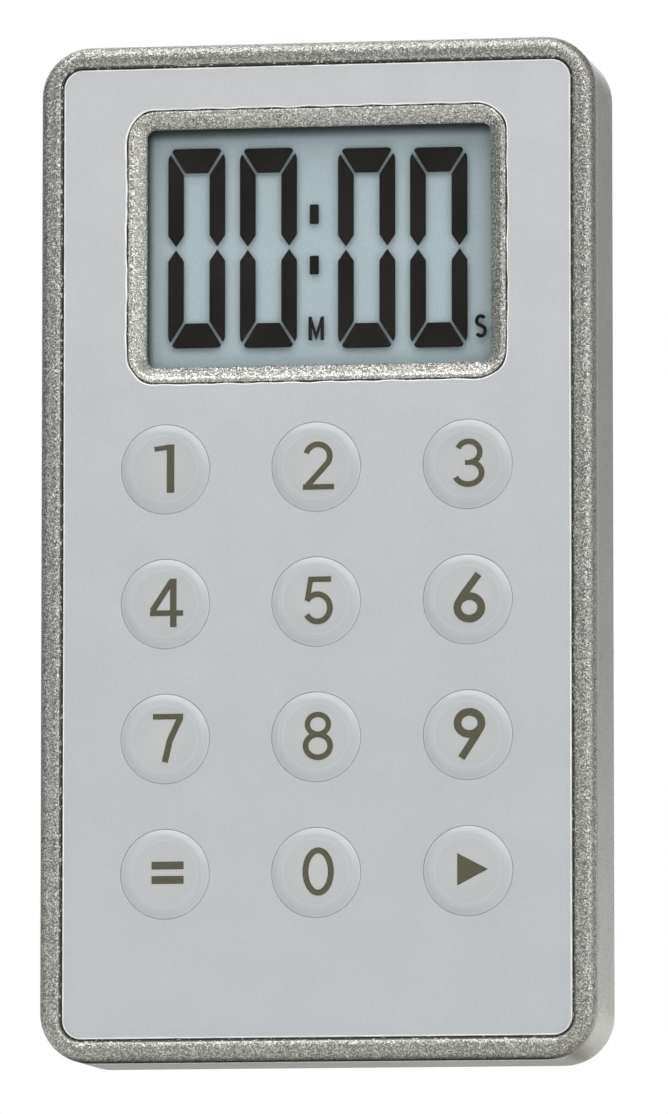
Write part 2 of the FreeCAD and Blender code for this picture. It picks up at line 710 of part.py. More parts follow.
def display():
    """Window, polariser, two glasses, reflector, rubber connectors and their frame."""
    margin = "2 * window_margin"
    node(
        rounded_plate(
            "display_window", WINDOW, "window_thickness", VIEW,
            f"view_width + {margin}", f"view_height + {margin}", "view_corner",
        ),
        "display_window",
    )
    low_height = f"({GLASS_HEIGHT} - 2 * ledge)"
    sheets = [
        ("front_polariser", POLARISER, GLASS_HEIGHT, "film_thickness"),
        ("lcd_front_glass", GLASS, GLASS_HEIGHT, "glass_thickness"),
        ("lcd_rear_glass", REAR_GLASS, low_height, "glass_thickness"),
        ("lcd_reflector", REFLECTOR, low_height, "film_thickness"),
    ]
    for label, depth, height, thickness in sheets:
        node(block(label, VIEW, depth, GLASS_WIDTH, height, thickness), label)

    zebra_length = f"({GLASS_WIDTH} - 2 * zebra_inset)"
    strips = []
    slots = []
    for side in (-1, 1):
        centre = ("0", f"view_centre + {side} * ({GLASS_HEIGHT} - ledge) / 2")
        name = "zebra_low" if side < 0 else "zebra_high"
        depth = f"{BOARD} - {REAR_GLASS}"
        strips.append(block(name, centre, REAR_GLASS, zebra_length, "zebra_width", depth))
        slots.append(centre)
    node(group("zebra_strips", strips), "zebra_strips")

    body = new_body("lcd_frame")
    sketch = new_sketch(body, POLARISER)
    clear = "2 * frame_gap"
    rim = "2 * (frame_gap + frame_wall)"
    rectangle(sketch, VIEW, f"{GLASS_WIDTH} + {rim}", f"{GLASS_HEIGHT} + {rim}")
    pad(body, sketch, f"{BOARD} - {POLARISER}")
    sketch = new_sketch(body, POLARISER)
    rectangle(sketch, VIEW, f"{GLASS_WIDTH} + {clear}", f"{GLASS_HEIGHT} + {clear}")
    pocket(body, sketch, f"{REAR_GLASS} - {POLARISER}")
    sketch = new_sketch(body, REAR_GLASS)
    rectangle(sketch, VIEW, f"{GLASS_WIDTH} + {clear}", f"{low_height} + {clear}")
    for centre in slots:
        rectangle(sketch, centre, f"{zebra_length} + {clear}", f"zebra_width + {clear}")
    pocket(body, sketch, f"{BOARD} - {REAR_GLASS}")
    node(body, "lcd_frame")


# ---- electronics -----------------------------------------------------------------------

def circuit_board():
    margin = "2 * (wall + board_inset)"
    body = new_body("circuit_board")
    sketch = new_sketch(body, BOARD)
    rectangle(sketch, MIDDLE, f"case_width - {margin}", f"case_height - {margin}")
    pad(body, sketch, "board_thickness")
    sketch = new_sketch(body, BOARD)
    for centre in CASE_SCREWS:
        circle(sketch, centre, "boss_radius + post_gap")
    for centre in BOARD_SCREWS:
        circle(sketch, centre, "board_screw_radius + screw_room")
    pocket(body, sketch, "board_thickness")
    return node(body, "circuit_board")


def board_parts():
    """The timer chip under its resin, the crystal and the small chips, on the back."""
    chip = ("0", "bottom_row + 1.5 * row_pitch")
    dome = ball("resin_ball", chip, f"{BOARD_BACK} + resin_height - resin_bulge", "resin_bulge")
    slab = rod("resin_slab", chip, BOARD_BACK, "resin_bulge", "2 * resin_height")
    node(shared("timer_chip", [dome, slab]), "timer_chip")

    can = doc.addObject("Part::Cylinder", "timing_crystal")
    can.Placement = FreeCAD.Placement(V(0, 0, 0), FreeCAD.Rotation(V(0, 1, 0), 90))
    can.setExpression("Radius", cells("crystal_radius"))
    can.setExpression("Height", cells("crystal_length"))
    left = "column_pitch - crystal_length / 2"
    place(can, left, f"{BOARD_BACK} + crystal_radius + fit_gap", "bottom_row + 1.5 * row_pitch")
    node(can, "timing_crystal")

    capacitors = []
    resistors = []
    for step in range(4):
        z = f"bottom_row + {step + 0.4} * row_pitch / 1.5"
        spot = ("-column_pitch", z)
        capacitors.append(block(f"capacitor_{step + 1}", spot, BOARD_BACK, "1.3", "2.0", "0.9"))
        spot = ("-column_pitch + 4", z)
        resistors.append(block(f"resistor_{step + 1}", spot, BOARD_BACK, "0.8", "1.6", "0.5"))
    node(group("chip_capacitors", capacitors), "chip_capacitors")
    node(group("chip_resistors", resistors), "chip_resistors")


CELL = ("0", "cell_centre")
CELL_BACK = "(case_depth - door_thickness - hub_height - fit_gap)"
CELL_FRONT = f"({CELL_BACK} - cell_height)"


def battery():
    """Button cell, its holder on the board and the two contact strips."""
    node(rod("button_cell", CELL, CELL_FRONT, "cell_radius", "cell_height"), "button_cell")

    body = new_body("battery_holder")
    sketch = new_sketch(body, BOARD_BACK)
    circle(sketch, CELL, "cell_radius + cell_gap + holder_wall")
    circle(sketch, CELL, "cell_radius + cell_gap")
    pad(body, sketch, "holder_height")
    sketch = new_sketch(body, BOARD_BACK)
    wide = "(holder_wall + 2 * cell_gap)"
    spot = (f"cell_radius + {wide} / 2", "cell_centre")
    rectangle(sketch, spot, f"{wide} + cell_gap", "contact_width + 4 * cell_gap")
    pocket(body, sketch, "holder_height")
    node(body, "battery_holder")

    upright = block(
        "contact_upright", ("cell_radius + fit_gap + contact_metal / 2", "cell_centre"),
        BOARD_BACK, "contact_metal", "contact_width", f"{CELL_FRONT} - {BOARD_BACK} + cell_height / 2",
    )
    foot = block(
        "contact_foot", ("cell_radius + fit_gap + contact_foot / 2", "cell_centre"),
        BOARD_BACK, "contact_foot", "contact_width", "contact_metal",
    )
    node(joined("positive_contact", [upright, foot]), "positive_contact")
    node(
        block(
            "negative_contact", CELL, BOARD_BACK, "2 * contact_width", "contact_width / 2",
            f"{CELL_FRONT} - {BOARD_BACK} - fit_gap",
        ),
        "negative_contact",
    )


def battery_door():
    """Twist-off disc with a coin slot; it is drawn with its lugs at the entry notches."""
    axis = ("0", "0")
    hub_front = "(case_depth - door_thickness - hub_height)"
    disc = rod("door_disc", axis, "case_depth - door_thickness", "door_radius", "door_thickness")
    hub = rod("door_hub", axis, hub_front, "hub_radius", "hub_height")
    bar = block("door_bar", axis, hub_front, "2 * lug_radius", "lug_width", "lug_thickness")
    reach = rod("door_reach", axis, hub_front, "lug_radius", "lug_thickness")
    lugs = shared("door_lugs", [bar, reach])
    solid = joined("door_solid", [disc, hub, lugs])
    slot = block("door_slot", axis, "case_depth - slot_depth", "slot_length", "slot_width", "slot_depth")
    door = cut("battery_door", solid, slot)
    door.Placement = FreeCAD.Placement(V(0, 0, 0), FreeCAD.Rotation(V(0, 1, 0), -1))
    door.setExpression("Placement.Rotation.Angle", cells("-door_turn * 1 deg"))
    door.setExpression("Placement.Base.z", cells("cell_centre"))
    node(door, "battery_door")


def sounder():
    """Brass disc with its ceramic, over the sound holes, and two short wires."""
    centre = ("0", "sounder_height")
    disc_front = f"({BACK_INSIDE} - sounder_chamber - sounder_metal)"
    ceramic_front = f"({disc_front} - sounder_metal)"
    node(rod("sounder_disc", centre, disc_front, "sounder_radius", "sounder_metal"), "sounder_disc")
    node(
        rod("sounder_ceramic", centre, ceramic_front, "ceramic_radius", "sounder_metal"),
        "sounder_ceramic",
    )
    wires = [
        wire("sounder_wire_live", number("ceramic_radius") * 0.4, number(ceramic_front)),
        wire("sounder_wire_earth", number("-sounder_radius") * 0.84, number(disc_front)),
    ]
    node(group("sounder_wires", wires), "sounder_wires")


def wire(name, x, end_depth):
    """A thin wire that leaves the board, turns up and ends on the sounder."""
    half = number("case_depth") / 2
    start = number(BOARD_BACK) - half
    end = end_depth - half
    low = number("sounder_height - sounder_radius - wire_run")
    high = number("sounder_height")
    middle = (start + end) / 2
    bend = (end - start) / 4
    turn = bend * (1 - 0.5 ** 0.5)
    path = Part.Wire([
        Part.LineSegment(V(x, start, low), V(x, middle - bend, low)).toShape(),
        Part.Arc(
            V(x, middle - bend, low), V(x, middle - turn, low + turn), V(x, middle, low + bend),
        ).toShape(),
        Part.LineSegment(V(x, middle, low + bend), V(x, middle, high - bend)).toShape(),
        Part.Arc(
            V(x, middle, high - bend), V(x, middle + turn, high - turn), V(x, middle + bend, high),
        ).toShape(),
        Part.LineSegment(V(x, middle + bend, high), V(x, end, high)).toShape(),
    ])
    section = Part.Wire(Part.Circle(V(x, start, low), V(0, 1, 0), number("wire_radius")).toShape())
    thing = doc.addObject("Part::Feature", name)
    thing.Shape = path.makePipeShell([section], True, False)
    return thing


# ---- back fittings and screws ----------------------------------------------------------

def fridge_magnets():
    discs = []
    for side in (-1, 1):
        centre = (f"{side} * magnet_offset", "magnet_height")
        depth = "case_depth - magnet_thickness - magnet_gap / 2"
        name = "magnet_left" if side < 0 else "magnet_right"
        discs.append(rod(name, centre, depth, "magnet_radius", "magnet_thickness"))
    return node(group("fridge_magnets", discs), "fridge_magnets")


def stand():
    """Flat leg with a round top end and two moulded hinge pins."""
    body = new_body("stand")
    front = "(case_depth - stand_sink - stand_thickness)"
    sketch = new_sketch(body, front)
    centre = ("0", "hinge_height - stand_length / 2")
    rectangle(sketch, centre, "stand_width", "stand_length")
    pad(body, sketch, "stand_thickness")
    tip = number("hinge_height - stand_length")

    def at_tip(edge):
        return runs_along_y(edge) and abs(edge.BoundBox.ZMin - tip) < 1e-4

    fillet(body, at_tip, "stand_corner")
    axis = ("case_depth / 2 - stand_sink - stand_thickness / 2", "hinge_height")
    for radius, length in (
        ("stand_thickness / 2", "stand_width"),
        ("pin_radius", "stand_width + 2 * stand_gap + 2 * pin_length - 4 * pin_gap"),
    ):
        sketch = side_sketch(body)
        circle(sketch, axis, radius)
        barrel = body.newObject("PartDesign::Pad", "stand_barrel")
        barrel.Profile = sketch
        barrel.Midplane = True
        barrel.setExpression("Length", cells(length))
        doc.recompute()
    return node(body, "stand")


def screws():
    case_set = []
    for count, centre in enumerate(CASE_SCREWS, start=1):
        name = f"case_screw_{count}"
        seat = "case_depth - head_sink"
        head = rod(name + "_head", centre, seat, "case_screw_radius + head_overhang", "head_thickness")
        tip = f"({DECK_BACK} + pilot_floor + case_tip_room)"
        shank = rod(name + "_shank", centre, tip, "case_screw_radius", f"case_depth - head_sink - {tip}")
        case_set.append(joined(name, [head, shank]))
    node(group("case_screws", case_set), "case_screws")
    board_set = []
    for count, centre in enumerate(BOARD_SCREWS, start=1):
        name = f"board_screw_{count}"
        head = rod(name + "_head", centre, BOARD_BACK, "board_screw_radius * 2", "board_head_thickness")
        tip = f"({DECK_BACK} + pilot_floor + tip_room)"
        shank = rod(name + "_shank", centre, tip, "board_screw_radius", f"{BOARD_BACK} - {tip}")
        board_set.append(joined(name, [head, shank]))
    node(group("board_screws", board_set), "board_screws")


front_case()
rear_case()
film("keypad_overlay", "overlay_drop", "overlay_thickness", "0", "key_radius + key_gap", CUTOUT_MARGIN)
film(
    "overlay_adhesive", "overlay_drop + overlay_thickness", "glue_thickness", "glue_inset",
    "key_radius + key_gap + glue_retreat", f"{CUTOUT_MARGIN} + glue_retreat",
)
for index in range(len(KEYS)):
    key(index)
    snap_dome(index)
dome_sheet()
display()
circuit_board()
board_parts()
battery()
battery_door()
sounder()
fridge_magnets()
stand()
screws()
doc.recompute()

for thing in doc.Objects:
    if {"Invalid", "Error"} & set(thing.State):
        raise ValueError(f"{thing.Label} failed: {thing.State}")
for thing in nodes:
    if thing.Shape.isNull() or not thing.Shape.isValid():
        raise ValueError(f"{thing.Label} has no valid shape")

os.makedirs("parts", exist_ok=True)
for thing in nodes:
    thing.Shape.exportStep(f"parts/{thing.Label}.step")
print(len(nodes), "sub-parts written")
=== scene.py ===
"""Slim kitchen countdown timer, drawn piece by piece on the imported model, in metres."""
import math

import bmesh
import bpy
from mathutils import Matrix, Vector


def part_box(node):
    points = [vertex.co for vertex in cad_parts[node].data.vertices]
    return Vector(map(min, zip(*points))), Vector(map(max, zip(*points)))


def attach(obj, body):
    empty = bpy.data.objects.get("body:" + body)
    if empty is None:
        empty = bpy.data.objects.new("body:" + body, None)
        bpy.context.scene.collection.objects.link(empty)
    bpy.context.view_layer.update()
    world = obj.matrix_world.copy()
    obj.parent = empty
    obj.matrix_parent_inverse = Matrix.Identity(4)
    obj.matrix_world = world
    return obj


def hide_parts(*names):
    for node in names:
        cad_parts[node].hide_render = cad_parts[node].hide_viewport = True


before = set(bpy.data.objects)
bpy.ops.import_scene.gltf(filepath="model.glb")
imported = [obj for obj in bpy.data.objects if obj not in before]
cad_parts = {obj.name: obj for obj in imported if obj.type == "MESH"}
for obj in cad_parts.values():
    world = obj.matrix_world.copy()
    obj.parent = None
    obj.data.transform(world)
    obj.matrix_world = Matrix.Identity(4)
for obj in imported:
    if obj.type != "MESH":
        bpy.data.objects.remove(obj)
scene = bpy.context.scene
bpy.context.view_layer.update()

# ------------ front shell
# One injection moulding of ABS, sprayed silver. A rounded rim frames the keypad, a thin deck carries
# the keypad film and guides the key caps, and a raised ring slopes down to the display's opening.
# The rim and the ring carry coarse metal flake; the sides are wiped smooth and look satin.
mm = 0.001
shell_low, shell_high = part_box("front_case")
crest = shell_low.y
case_half_w = shell_high.x / mm
case_half_h = (shell_high.z - shell_low.z) / 2 / mm
case_middle = (shell_high.z + shell_low.z) / 2 / mm
case_corner = 5.0
deck_half_w = 25.8
key_hole = 4.5
film_low, film_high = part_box("keypad_overlay")
film_half_w = film_high.x / mm
film_half_h = (film_high.z - film_low.z) / 2 / mm
window_low, window_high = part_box("display_window")
view_middle = (window_low.z + window_high.z) / 2 / mm
view_half_w = 17.4
view_half_h = 12.0
key_names = ["1", "2", "3", "4", "5", "6", "7", "8", "9", "clear", "0", "start"]
key_centres = {}
for key in key_names:
    low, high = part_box("key_" + key)
    key_centres[key] = ((low.x + high.x) / 2 / mm, (low.z + high.z) / 2 / mm)


def at(x, z, depth):
    """A point given in millimetres: across, up, and back from the crest of the rim."""
    return Vector((x * mm, crest + depth * mm, z * mm))


def linear(code):
    """An sRGB hex colour as the linear colour that a socket takes."""
    parts = []
    for i in (1, 3, 5):
        c = int(code[i:i + 2], 16) / 255
        if c <= 0.04045:
            parts.append(c / 12.92)
        else:
            parts.append(((c + 0.055) / 1.055) ** 2.4)
    return (parts[0], parts[1], parts[2], 1.0)


def add(tree, kind, inputs=None, stops=(), **settings):
    """Adds one node. An input is given a value, a node's output, or a node for its first output.

    A colour ramp is given its stops, as pairs of place and colour.
    """
    made = tree.nodes.new(kind)
    for name, value in settings.items():
        setattr(made, name, value)
    if stops:
        ramp = made.color_ramp.elements
        for end, (spot, code) in ((0, stops[0]), (1, stops[-1])):
            ramp[end].position = spot
            ramp[end].color = linear(code)
        for spot, code in stops[1:-1]:
            ramp.new(spot).color = linear(code)
    for name, value in (inputs or {}).items():
        if isinstance(value, bpy.types.Node):
            value = value.outputs[0]
        if isinstance(value, bpy.types.NodeSocket):
            tree.links.new(value, made.inputs[name])
        else:
            made.inputs[name].default_value = value
    return made


def blank_finish(name):
    """A new empty material, its node tree, and its piece's own coordinates."""
    finish = bpy.data.materials.new(name)
    finish.use_nodes = True
    tree = finish.node_tree
    tree.nodes.clear()
    return finish, tree, add(tree, "ShaderNodeTexCoord").outputs["Object"]


def outline(half_w, half_h, corner, middle, depth, steps=14, waver=0.0):
    """Points of a rounded rectangle round (0, middle); waver moves them like a hand-trimmed edge."""
    points = []
    for turn, (sx, sz) in enumerate(((1, 1), (-1, 1), (-1, -1), (1, -1))):
        for k in range(steps + 1):
            a = math.radians(90 * (turn + k / steps))
            x = sx * (half_w - corner) + corner * math.cos(a)
            z = sz * (half_h - corner) + corner * math.sin(a)
            points.append((x, z))
    if waver:
        # The long sides get points of their own, so that the edge can wander along them.
        fine = []
        for i, (x, z) in enumerate(points):
            nx, nz = points[(i + 1) % len(points)]
            parts = max(1, int(math.hypot(nx - x, nz - z) / 0.7))
            for p in range(parts):
                fine.append((x + (nx - x) * p / parts, z + (nz - z) * p / parts))
        points = []
        for x, z in fine:
            away = math.hypot(x, z)
            shift = waver * (math.sin(x * 1.9 + z * 0.7) + 0.7 * math.sin(z * 2.3 - x * 1.1 + 1.0))
            points.append((x * (1 + shift / away), z * (1 + shift / away)))
    return [at(x, middle + z, depth) for x, z in points]


def ring(centre, radius, depth, steps=48):
    """Points of a circle round a key or a screw."""
    turns = [2 * math.pi * k / steps for k in range(steps)]
    x, z = centre
    return [at(x + radius * math.cos(a), z + radius * math.sin(a), depth) for a in turns]


def skin(bm, outlines, material=0):
    """Walls between outlines of equal length, one after the other."""
    rows = []
    for points in outlines:
        rows.append([bm.verts.new(p) for p in points])
    for a, b in zip(rows, rows[1:]):
        n = len(a)
        for i in range(n):
            j = (i + 1) % n
            face = bm.faces.new((a[i], a[j], b[j], b[i]))
            face.material_index = material
    return rows


def flat(bm, loops, material=0):
    """A flat face inside the first loop of vertices, with the other loops as holes in it."""
    edges = []
    for loop in loops:
        n = len(loop)
        for i in range(n):
            pair = (loop[i], loop[(i + 1) % n])
            edges.append(bm.edges.get(pair) or bm.edges.new(pair))
    made = bmesh.ops.triangle_fill(bm, use_beauty=True, edges=edges)
    for item in made["geom"]:
        if isinstance(item, bmesh.types.BMFace):
            item.material_index = material


def finished_mesh(name, bm, finishes, angle=34):
    """Closes and turns a mesh outwards, gives it its materials and shades its curves smoothly."""
    bmesh.ops.remove_doubles(bm, verts=bm.verts, dist=2e-7)
    bmesh.ops.recalc_face_normals(bm, faces=bm.faces)
    mesh = bpy.data.meshes.new(name)
    bm.to_mesh(mesh)
    bm.free()
    for finish in finishes:
        mesh.materials.append(finish)
    mesh.shade_smooth()
    mesh.set_sharp_from_angle(angle=math.radians(angle))
    return mesh


def fit_piece(name, mesh, body, stands_for, weighted=True):
    """Puts a finished mesh in the scene, on its body, in place of the nodes it stands for."""
    piece = bpy.data.objects.new(name, mesh)
    scene.collection.objects.link(piece)
    if weighted:
        even = piece.modifiers.new("even shading", "WEIGHTED_NORMAL")
        even.keep_sharp = True
    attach(piece, body)
    if stands_for:
        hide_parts(*stands_for)


# Silver metallic paint on ABS: aluminium flake in clear lacquer. It gives a grey sheen with single
# bright flakes. Real flake is 0.05 mm; it is drawn at 0.11 to 0.18 mm so that it shows.
silver_paint, tree, place = blank_finish("silver flake paint on moulded ABS")
split = add(tree, "ShaderNodeSeparateXYZ", {"Vector": place})
coarse_zone = add(tree, "ShaderNodeMapRange", {
    "Value": split.outputs["Y"],
    "From Min": crest + 1.5 * mm,
    "From Max": crest + 2.2 * mm,
    "To Min": 1.0,
    "To Max": 0.0,
}, interpolation_type="SMOOTHSTEP")
view_zone_x = add(tree, "ShaderNodeMath", {0: split.outputs["X"]}, operation="ABSOLUTE")
view_zone_z = add(tree, "ShaderNodeMath", {
    0: split.outputs["Z"], 1: view_middle * mm, 2: (view_half_h + 4.0) * mm}, operation="COMPARE")
view_zone_w = add(tree, "ShaderNodeMath", {
    0: view_zone_x, 1: (view_half_w + 4.0) * mm}, operation="LESS_THAN")
view_zone_y = add(tree, "ShaderNodeMath", {
    0: split.outputs["Y"], 1: crest + 2.6 * mm}, operation="LESS_THAN")
view_zone = add(tree, "ShaderNodeMath", {
    0: view_zone_w, 1: view_zone_z}, operation="MULTIPLY")
view_inside = add(tree, "ShaderNodeMath", {
    0: view_zone, 1: view_zone_y}, operation="MULTIPLY")
coarse = add(tree, "ShaderNodeMath", {
    0: coarse_zone, 1: view_inside}, operation="MAXIMUM")
flakes = add(tree, "ShaderNodeTexVoronoi", {
    "Vector": place, "Scale": 1 / (0.11 * mm)})
flake_level = add(tree, "ShaderNodeSeparateColor", {"Color": flakes.outputs["Color"]})
clumps = add(tree, "ShaderNodeTexNoise", {
    "Vector": place, "Scale": 1 / (0.18 * mm), "Detail": 3.0, "Roughness": 0.7})
drift = add(tree, "ShaderNodeTexNoise", {
    "Vector": place, "Scale": 1 / (9 * mm), "Detail": 2.0})
grain = add(tree, "ShaderNodeMath", {
    0: flake_level, 1: clumps}, operation="MULTIPLY")
tone = add(tree, "ShaderNodeValToRGB", {"Fac": grain}, stops=(
    (0.0, "#73726D"), (0.28, "#A4A39E"), (0.66, "#F2F1EC")))
smooth_tone = add(tree, "ShaderNodeValToRGB", {"Fac": drift}, stops=(
    (0.0, "#ADACA6"), (1.0, "#C2C1BB")))
# The ring round the display is coloured 1.2 times the flake tone and the rim 0.79 times; the ring's
# extra brightness is a painted highlight for the light it catches.
painted_ring_highlight = add(tree, "ShaderNodeMapRange", {
    "Value": view_inside, "To Min": 0.79, "To Max": 1.2})
grained = add(tree, "ShaderNodeVectorMath", {
    0: tone, 1: painted_ring_highlight}, operation="MULTIPLY")
colour = add(tree, "ShaderNodeMix", {0: coarse, 6: smooth_tone, 7: grained}, data_type="RGBA")
gloss = add(tree, "ShaderNodeMapRange", {
    "Value": flake_level.outputs[1], "To Min": 0.26, "To Max": 0.46})
relief_strength = add(tree, "ShaderNodeMapRange", {
    "Value": coarse, "To Min": 0.02, "To Max": 0.6})
relief = add(tree, "ShaderNodeBump", {
    "Strength": relief_strength, "Distance": 0.05 * mm, "Height": grain})
# Each flake lies at its own small angle, so single flakes flash as the light moves over them.
flake_lean = add(tree, "ShaderNodeVectorMath", {
    0: flakes.outputs["Color"], 1: (0.5, 0.5, 0.5)}, operation="SUBTRACT")
lean_amount = add(tree, "ShaderNodeMath", {0: coarse, 1: 0.42}, operation="MULTIPLY")
flake_tilt = add(tree, "ShaderNodeVectorMath", {
    0: flake_lean, "Scale": lean_amount}, operation="SCALE")
leaning = add(tree, "ShaderNodeVectorMath", {
    0: relief, 1: flake_tilt}, operation="ADD")
flake_normal = add(tree, "ShaderNodeVectorMath", {0: leaning}, operation="NORMALIZE")
shine = add(tree, "ShaderNodeBsdfPrincipled", {
    "Base Color": colour.outputs[2], "Metallic": 0.85, "Roughness": gloss, "Normal": flake_normal})
add(tree, "ShaderNodeOutputMaterial", {"Surface": shine})

# Bare dark ABS where the paint mask covered the deck: matt, with a trace of moulding grain and a few
# silver flecks of overspray. It also covers the inner foot of the rim, where it is partly unpainted
# moulding and partly painted shade for the dark gap round the film.
bare_abs_and_gap_shade, tree, place = blank_finish("unpainted charcoal ABS and painted gap shade")
speck = add(tree, "ShaderNodeTexNoise", {
    "Vector": place, "Scale": 1 / (0.5 * mm), "Detail": 4.0})
tone = add(tree, "ShaderNodeValToRGB", {"Fac": speck}, stops=(
    (0.0, "#302F2B"), (1.0, "#504E48")))
mist = add(tree, "ShaderNodeTexVoronoi", {
    "Vector": place, "Scale": 1 / (0.2 * mm)})
mist_level = add(tree, "ShaderNodeSeparateColor", {"Color": mist.outputs["Color"]})
mist_spots = add(tree, "ShaderNodeMath", {0: mist_level, 1: 0.9}, operation="GREATER_THAN")
colour = add(tree, "ShaderNodeMix", {0: mist_spots, 6: tone, 7: linear("#B9B8B2")}, data_type="RGBA")
relief = add(tree, "ShaderNodeBump", {
    "Strength": 0.3, "Distance": 0.02 * mm, "Height": speck})
shine = add(tree, "ShaderNodeBsdfPrincipled", {
    "Base Color": colour.outputs[2], "Roughness": 0.55, "Normal": relief})
add(tree, "ShaderNodeOutputMaterial", {"Surface": shine})

deck_front = 0.75
deck_back = 2.05
skirt = 2.8
tongue = 4.3
bead_out = 1.3
bead_in = 0.9
recess = case_half_w - deck_half_w
shell = bmesh.new()


def shell_loop(inset, depth, corner=None):
    """The shell's outline, drawn in from its outside."""
    if corner is None:
        corner = case_corner - inset
    return outline(case_half_w - inset, case_half_h - inset, corner, case_middle, depth)


outside = [shell_loop(inset, depth) for inset, depth in (
    (1.6, deck_back), (1.6, tongue - 0.1), (1.5, tongue), (0.95, tongue), (0.85, tongue - 0.1),
    (0.85, skirt), (0.14, skirt), (0.05, skirt - 0.04), (0.0, skirt - 0.14),
)]
for k in range(13):
    a = math.radians(90 * k / 12)
    outside.append(shell_loop(bead_out - bead_out * math.cos(a), bead_out - bead_out * math.sin(a)))
for k in range(1, 11):
    a = math.radians(90 * k / 10)
    inset = bead_out + bead_in * math.sin(a)
    corner = 3.7 + (2.05 - 3.7) * math.sin(a)
    outside.append(shell_loop(inset, 0.6 - 0.6 * math.cos(a), corner))
rows = skin(shell, outside[:-4])
# The inner foot of the rim takes the dark bare finish, partly as painted shade in the gap round the
# film.
wall_rows = skin(shell, outside[-5:] + [shell_loop(recess, deck_front, 2.05)], material=1)
inside = []
for out, corner, depth in (
    (1.7, 2.9, deck_front), (1.7, 2.9, 0.55), (1.66, 2.86, 0.48), (1.58, 2.78, 0.45),
    (1.42, 2.6, 0.45), (1.26, 2.45, 0.49), (1.1, 2.3, 0.6), (0.55, 1.6, 1.15),
    (0.15, 1.05, 1.58), (0.03, 0.93, 1.74), (0.0, 0.9, 1.84),
):
    inside.append(outline(view_half_w + out, view_half_h + out, corner, view_middle, depth))
ring_rows = skin(shell, inside)
throat = outline(view_half_w, view_half_h, 0.9, view_middle, deck_back)
throat_rows = skin(shell, [inside[-1], throat], material=1)
front_holes = []
back_holes = []
for key in key_names:
    wall = skin(shell, [
        ring(key_centres[key], key_hole, deck_front),
        ring(key_centres[key], key_hole, deck_back),
    ], material=1)
    front_holes.append(wall[0])
    back_holes.append(wall[1])
flat(shell, [wall_rows[-1], ring_rows[0]] + front_holes, material=1)
flat(shell, [rows[0], throat_rows[1]] + back_holes, material=1)
front_mesh = finished_mesh("front_shell", shell, [silver_paint, bare_abs_and_gap_shade])
fit_piece("front_shell", front_mesh, "case", ["front_case"])

# ------------ rear shell
# The back half: the same silver-painted ABS, with the stand's recess, two magnet pockets, the
# sound holes, the screw counterbores and the round battery opening. Every edge is broken 0.12 mm.


def softened_copy(node_name, mesh_name, finishes, edge, segments=2):
    """A merged copy of a node's mesh, its flats joined and its sharp edges slightly rounded."""
    bm = bmesh.new()
    bm.from_mesh(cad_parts[node_name].data)
    bmesh.ops.remove_doubles(bm, verts=bm.verts, dist=2e-6)
    bmesh.ops.dissolve_limit(bm, angle_limit=math.radians(0.5), verts=bm.verts, edges=bm.edges)
    for face in bm.faces:
        face.material_index = 0
    rough = bpy.data.meshes.new(mesh_name + " rough")
    bm.to_mesh(rough)
    bm.free()
    holder = bpy.data.objects.new(mesh_name, rough)
    scene.collection.objects.link(holder)
    broken = holder.modifiers.new("broken edges", "BEVEL")
    broken.width = edge * mm
    broken.segments = segments
    broken.limit_method = "ANGLE"
    broken.angle_limit = math.radians(40)
    broken.use_clamp_overlap = True
    bpy.context.view_layer.update()
    graph = bpy.context.evaluated_depsgraph_get()
    mesh = bpy.data.meshes.new_from_object(holder.evaluated_get(graph))
    bpy.data.objects.remove(holder)
    mesh.materials.clear()
    for finish in finishes:
        mesh.materials.append(finish)
    mesh.shade_smooth()
    mesh.set_sharp_from_angle(angle=math.radians(34))
    return mesh


rear_mesh = softened_copy("rear_case", "rear_shell", [silver_paint], 0.12)
fit_piece("rear_shell", rear_mesh, "case", ["rear_case"])

# ------------ keypad film
# A polyester overlay, printed pale grey from behind and die-cut round the keys and the display.
# Its cut edge is slightly wavy round the display and shows as a thin bright line, partly its milky
# unprinted edge and partly a painted highlight.
film_face = 0.4
film_back = 0.65
film = bmesh.new()
film_middle = (film_high.z + film_low.z) / 2 / mm
edge_loops = [
    outline(film_half_w - inset, film_half_h - inset, 1.9 - inset, film_middle, depth)
    for inset, depth in (
        (0.15, film_face), (0.06, film_face + 0.03), (0.0, film_face + 0.12), (0.0, film_back))
]
outer = skin(film, edge_loops, material=1)
cut_out = 1.84
cut_loops = [
    outline(view_half_w + cut_out - inset, view_half_h + cut_out - inset, 3.04 - inset,
            view_middle, depth, waver=0.045)
    for inset, depth in (
        (-0.13, film_face), (-0.05, film_face + 0.03), (0.0, film_face + 0.11), (0.0, film_back))
]
cut = skin(film, cut_loops, material=1)
front_loops = [outer[0], cut[0]]
back_loops = [outer[-1], cut[-1]]
for key in key_names:
    hole = skin(film, [
        ring(key_centres[key], key_hole + 0.03, film_face),
        ring(key_centres[key], key_hole + 0.01, film_face + 0.02),
        ring(key_centres[key], key_hole, film_face + 0.05),
        ring(key_centres[key], key_hole, film_back),
    ])
    front_loops.append(hole[0])
    back_loops.append(hole[-1])
flat(film, front_loops)
flat(film, back_loops)

# Matt hard-coated polyester: a fine even tooth, slightly warmer and lighter near the top as painted
# light from above, and a faint cloudiness from the printing. Real tooth is 0.02 mm; it is drawn at
# 0.15 mm.
keypad_film, tree, place = blank_finish("hard-coated printed polyester")
split = add(tree, "ShaderNodeSeparateXYZ", {"Vector": place})
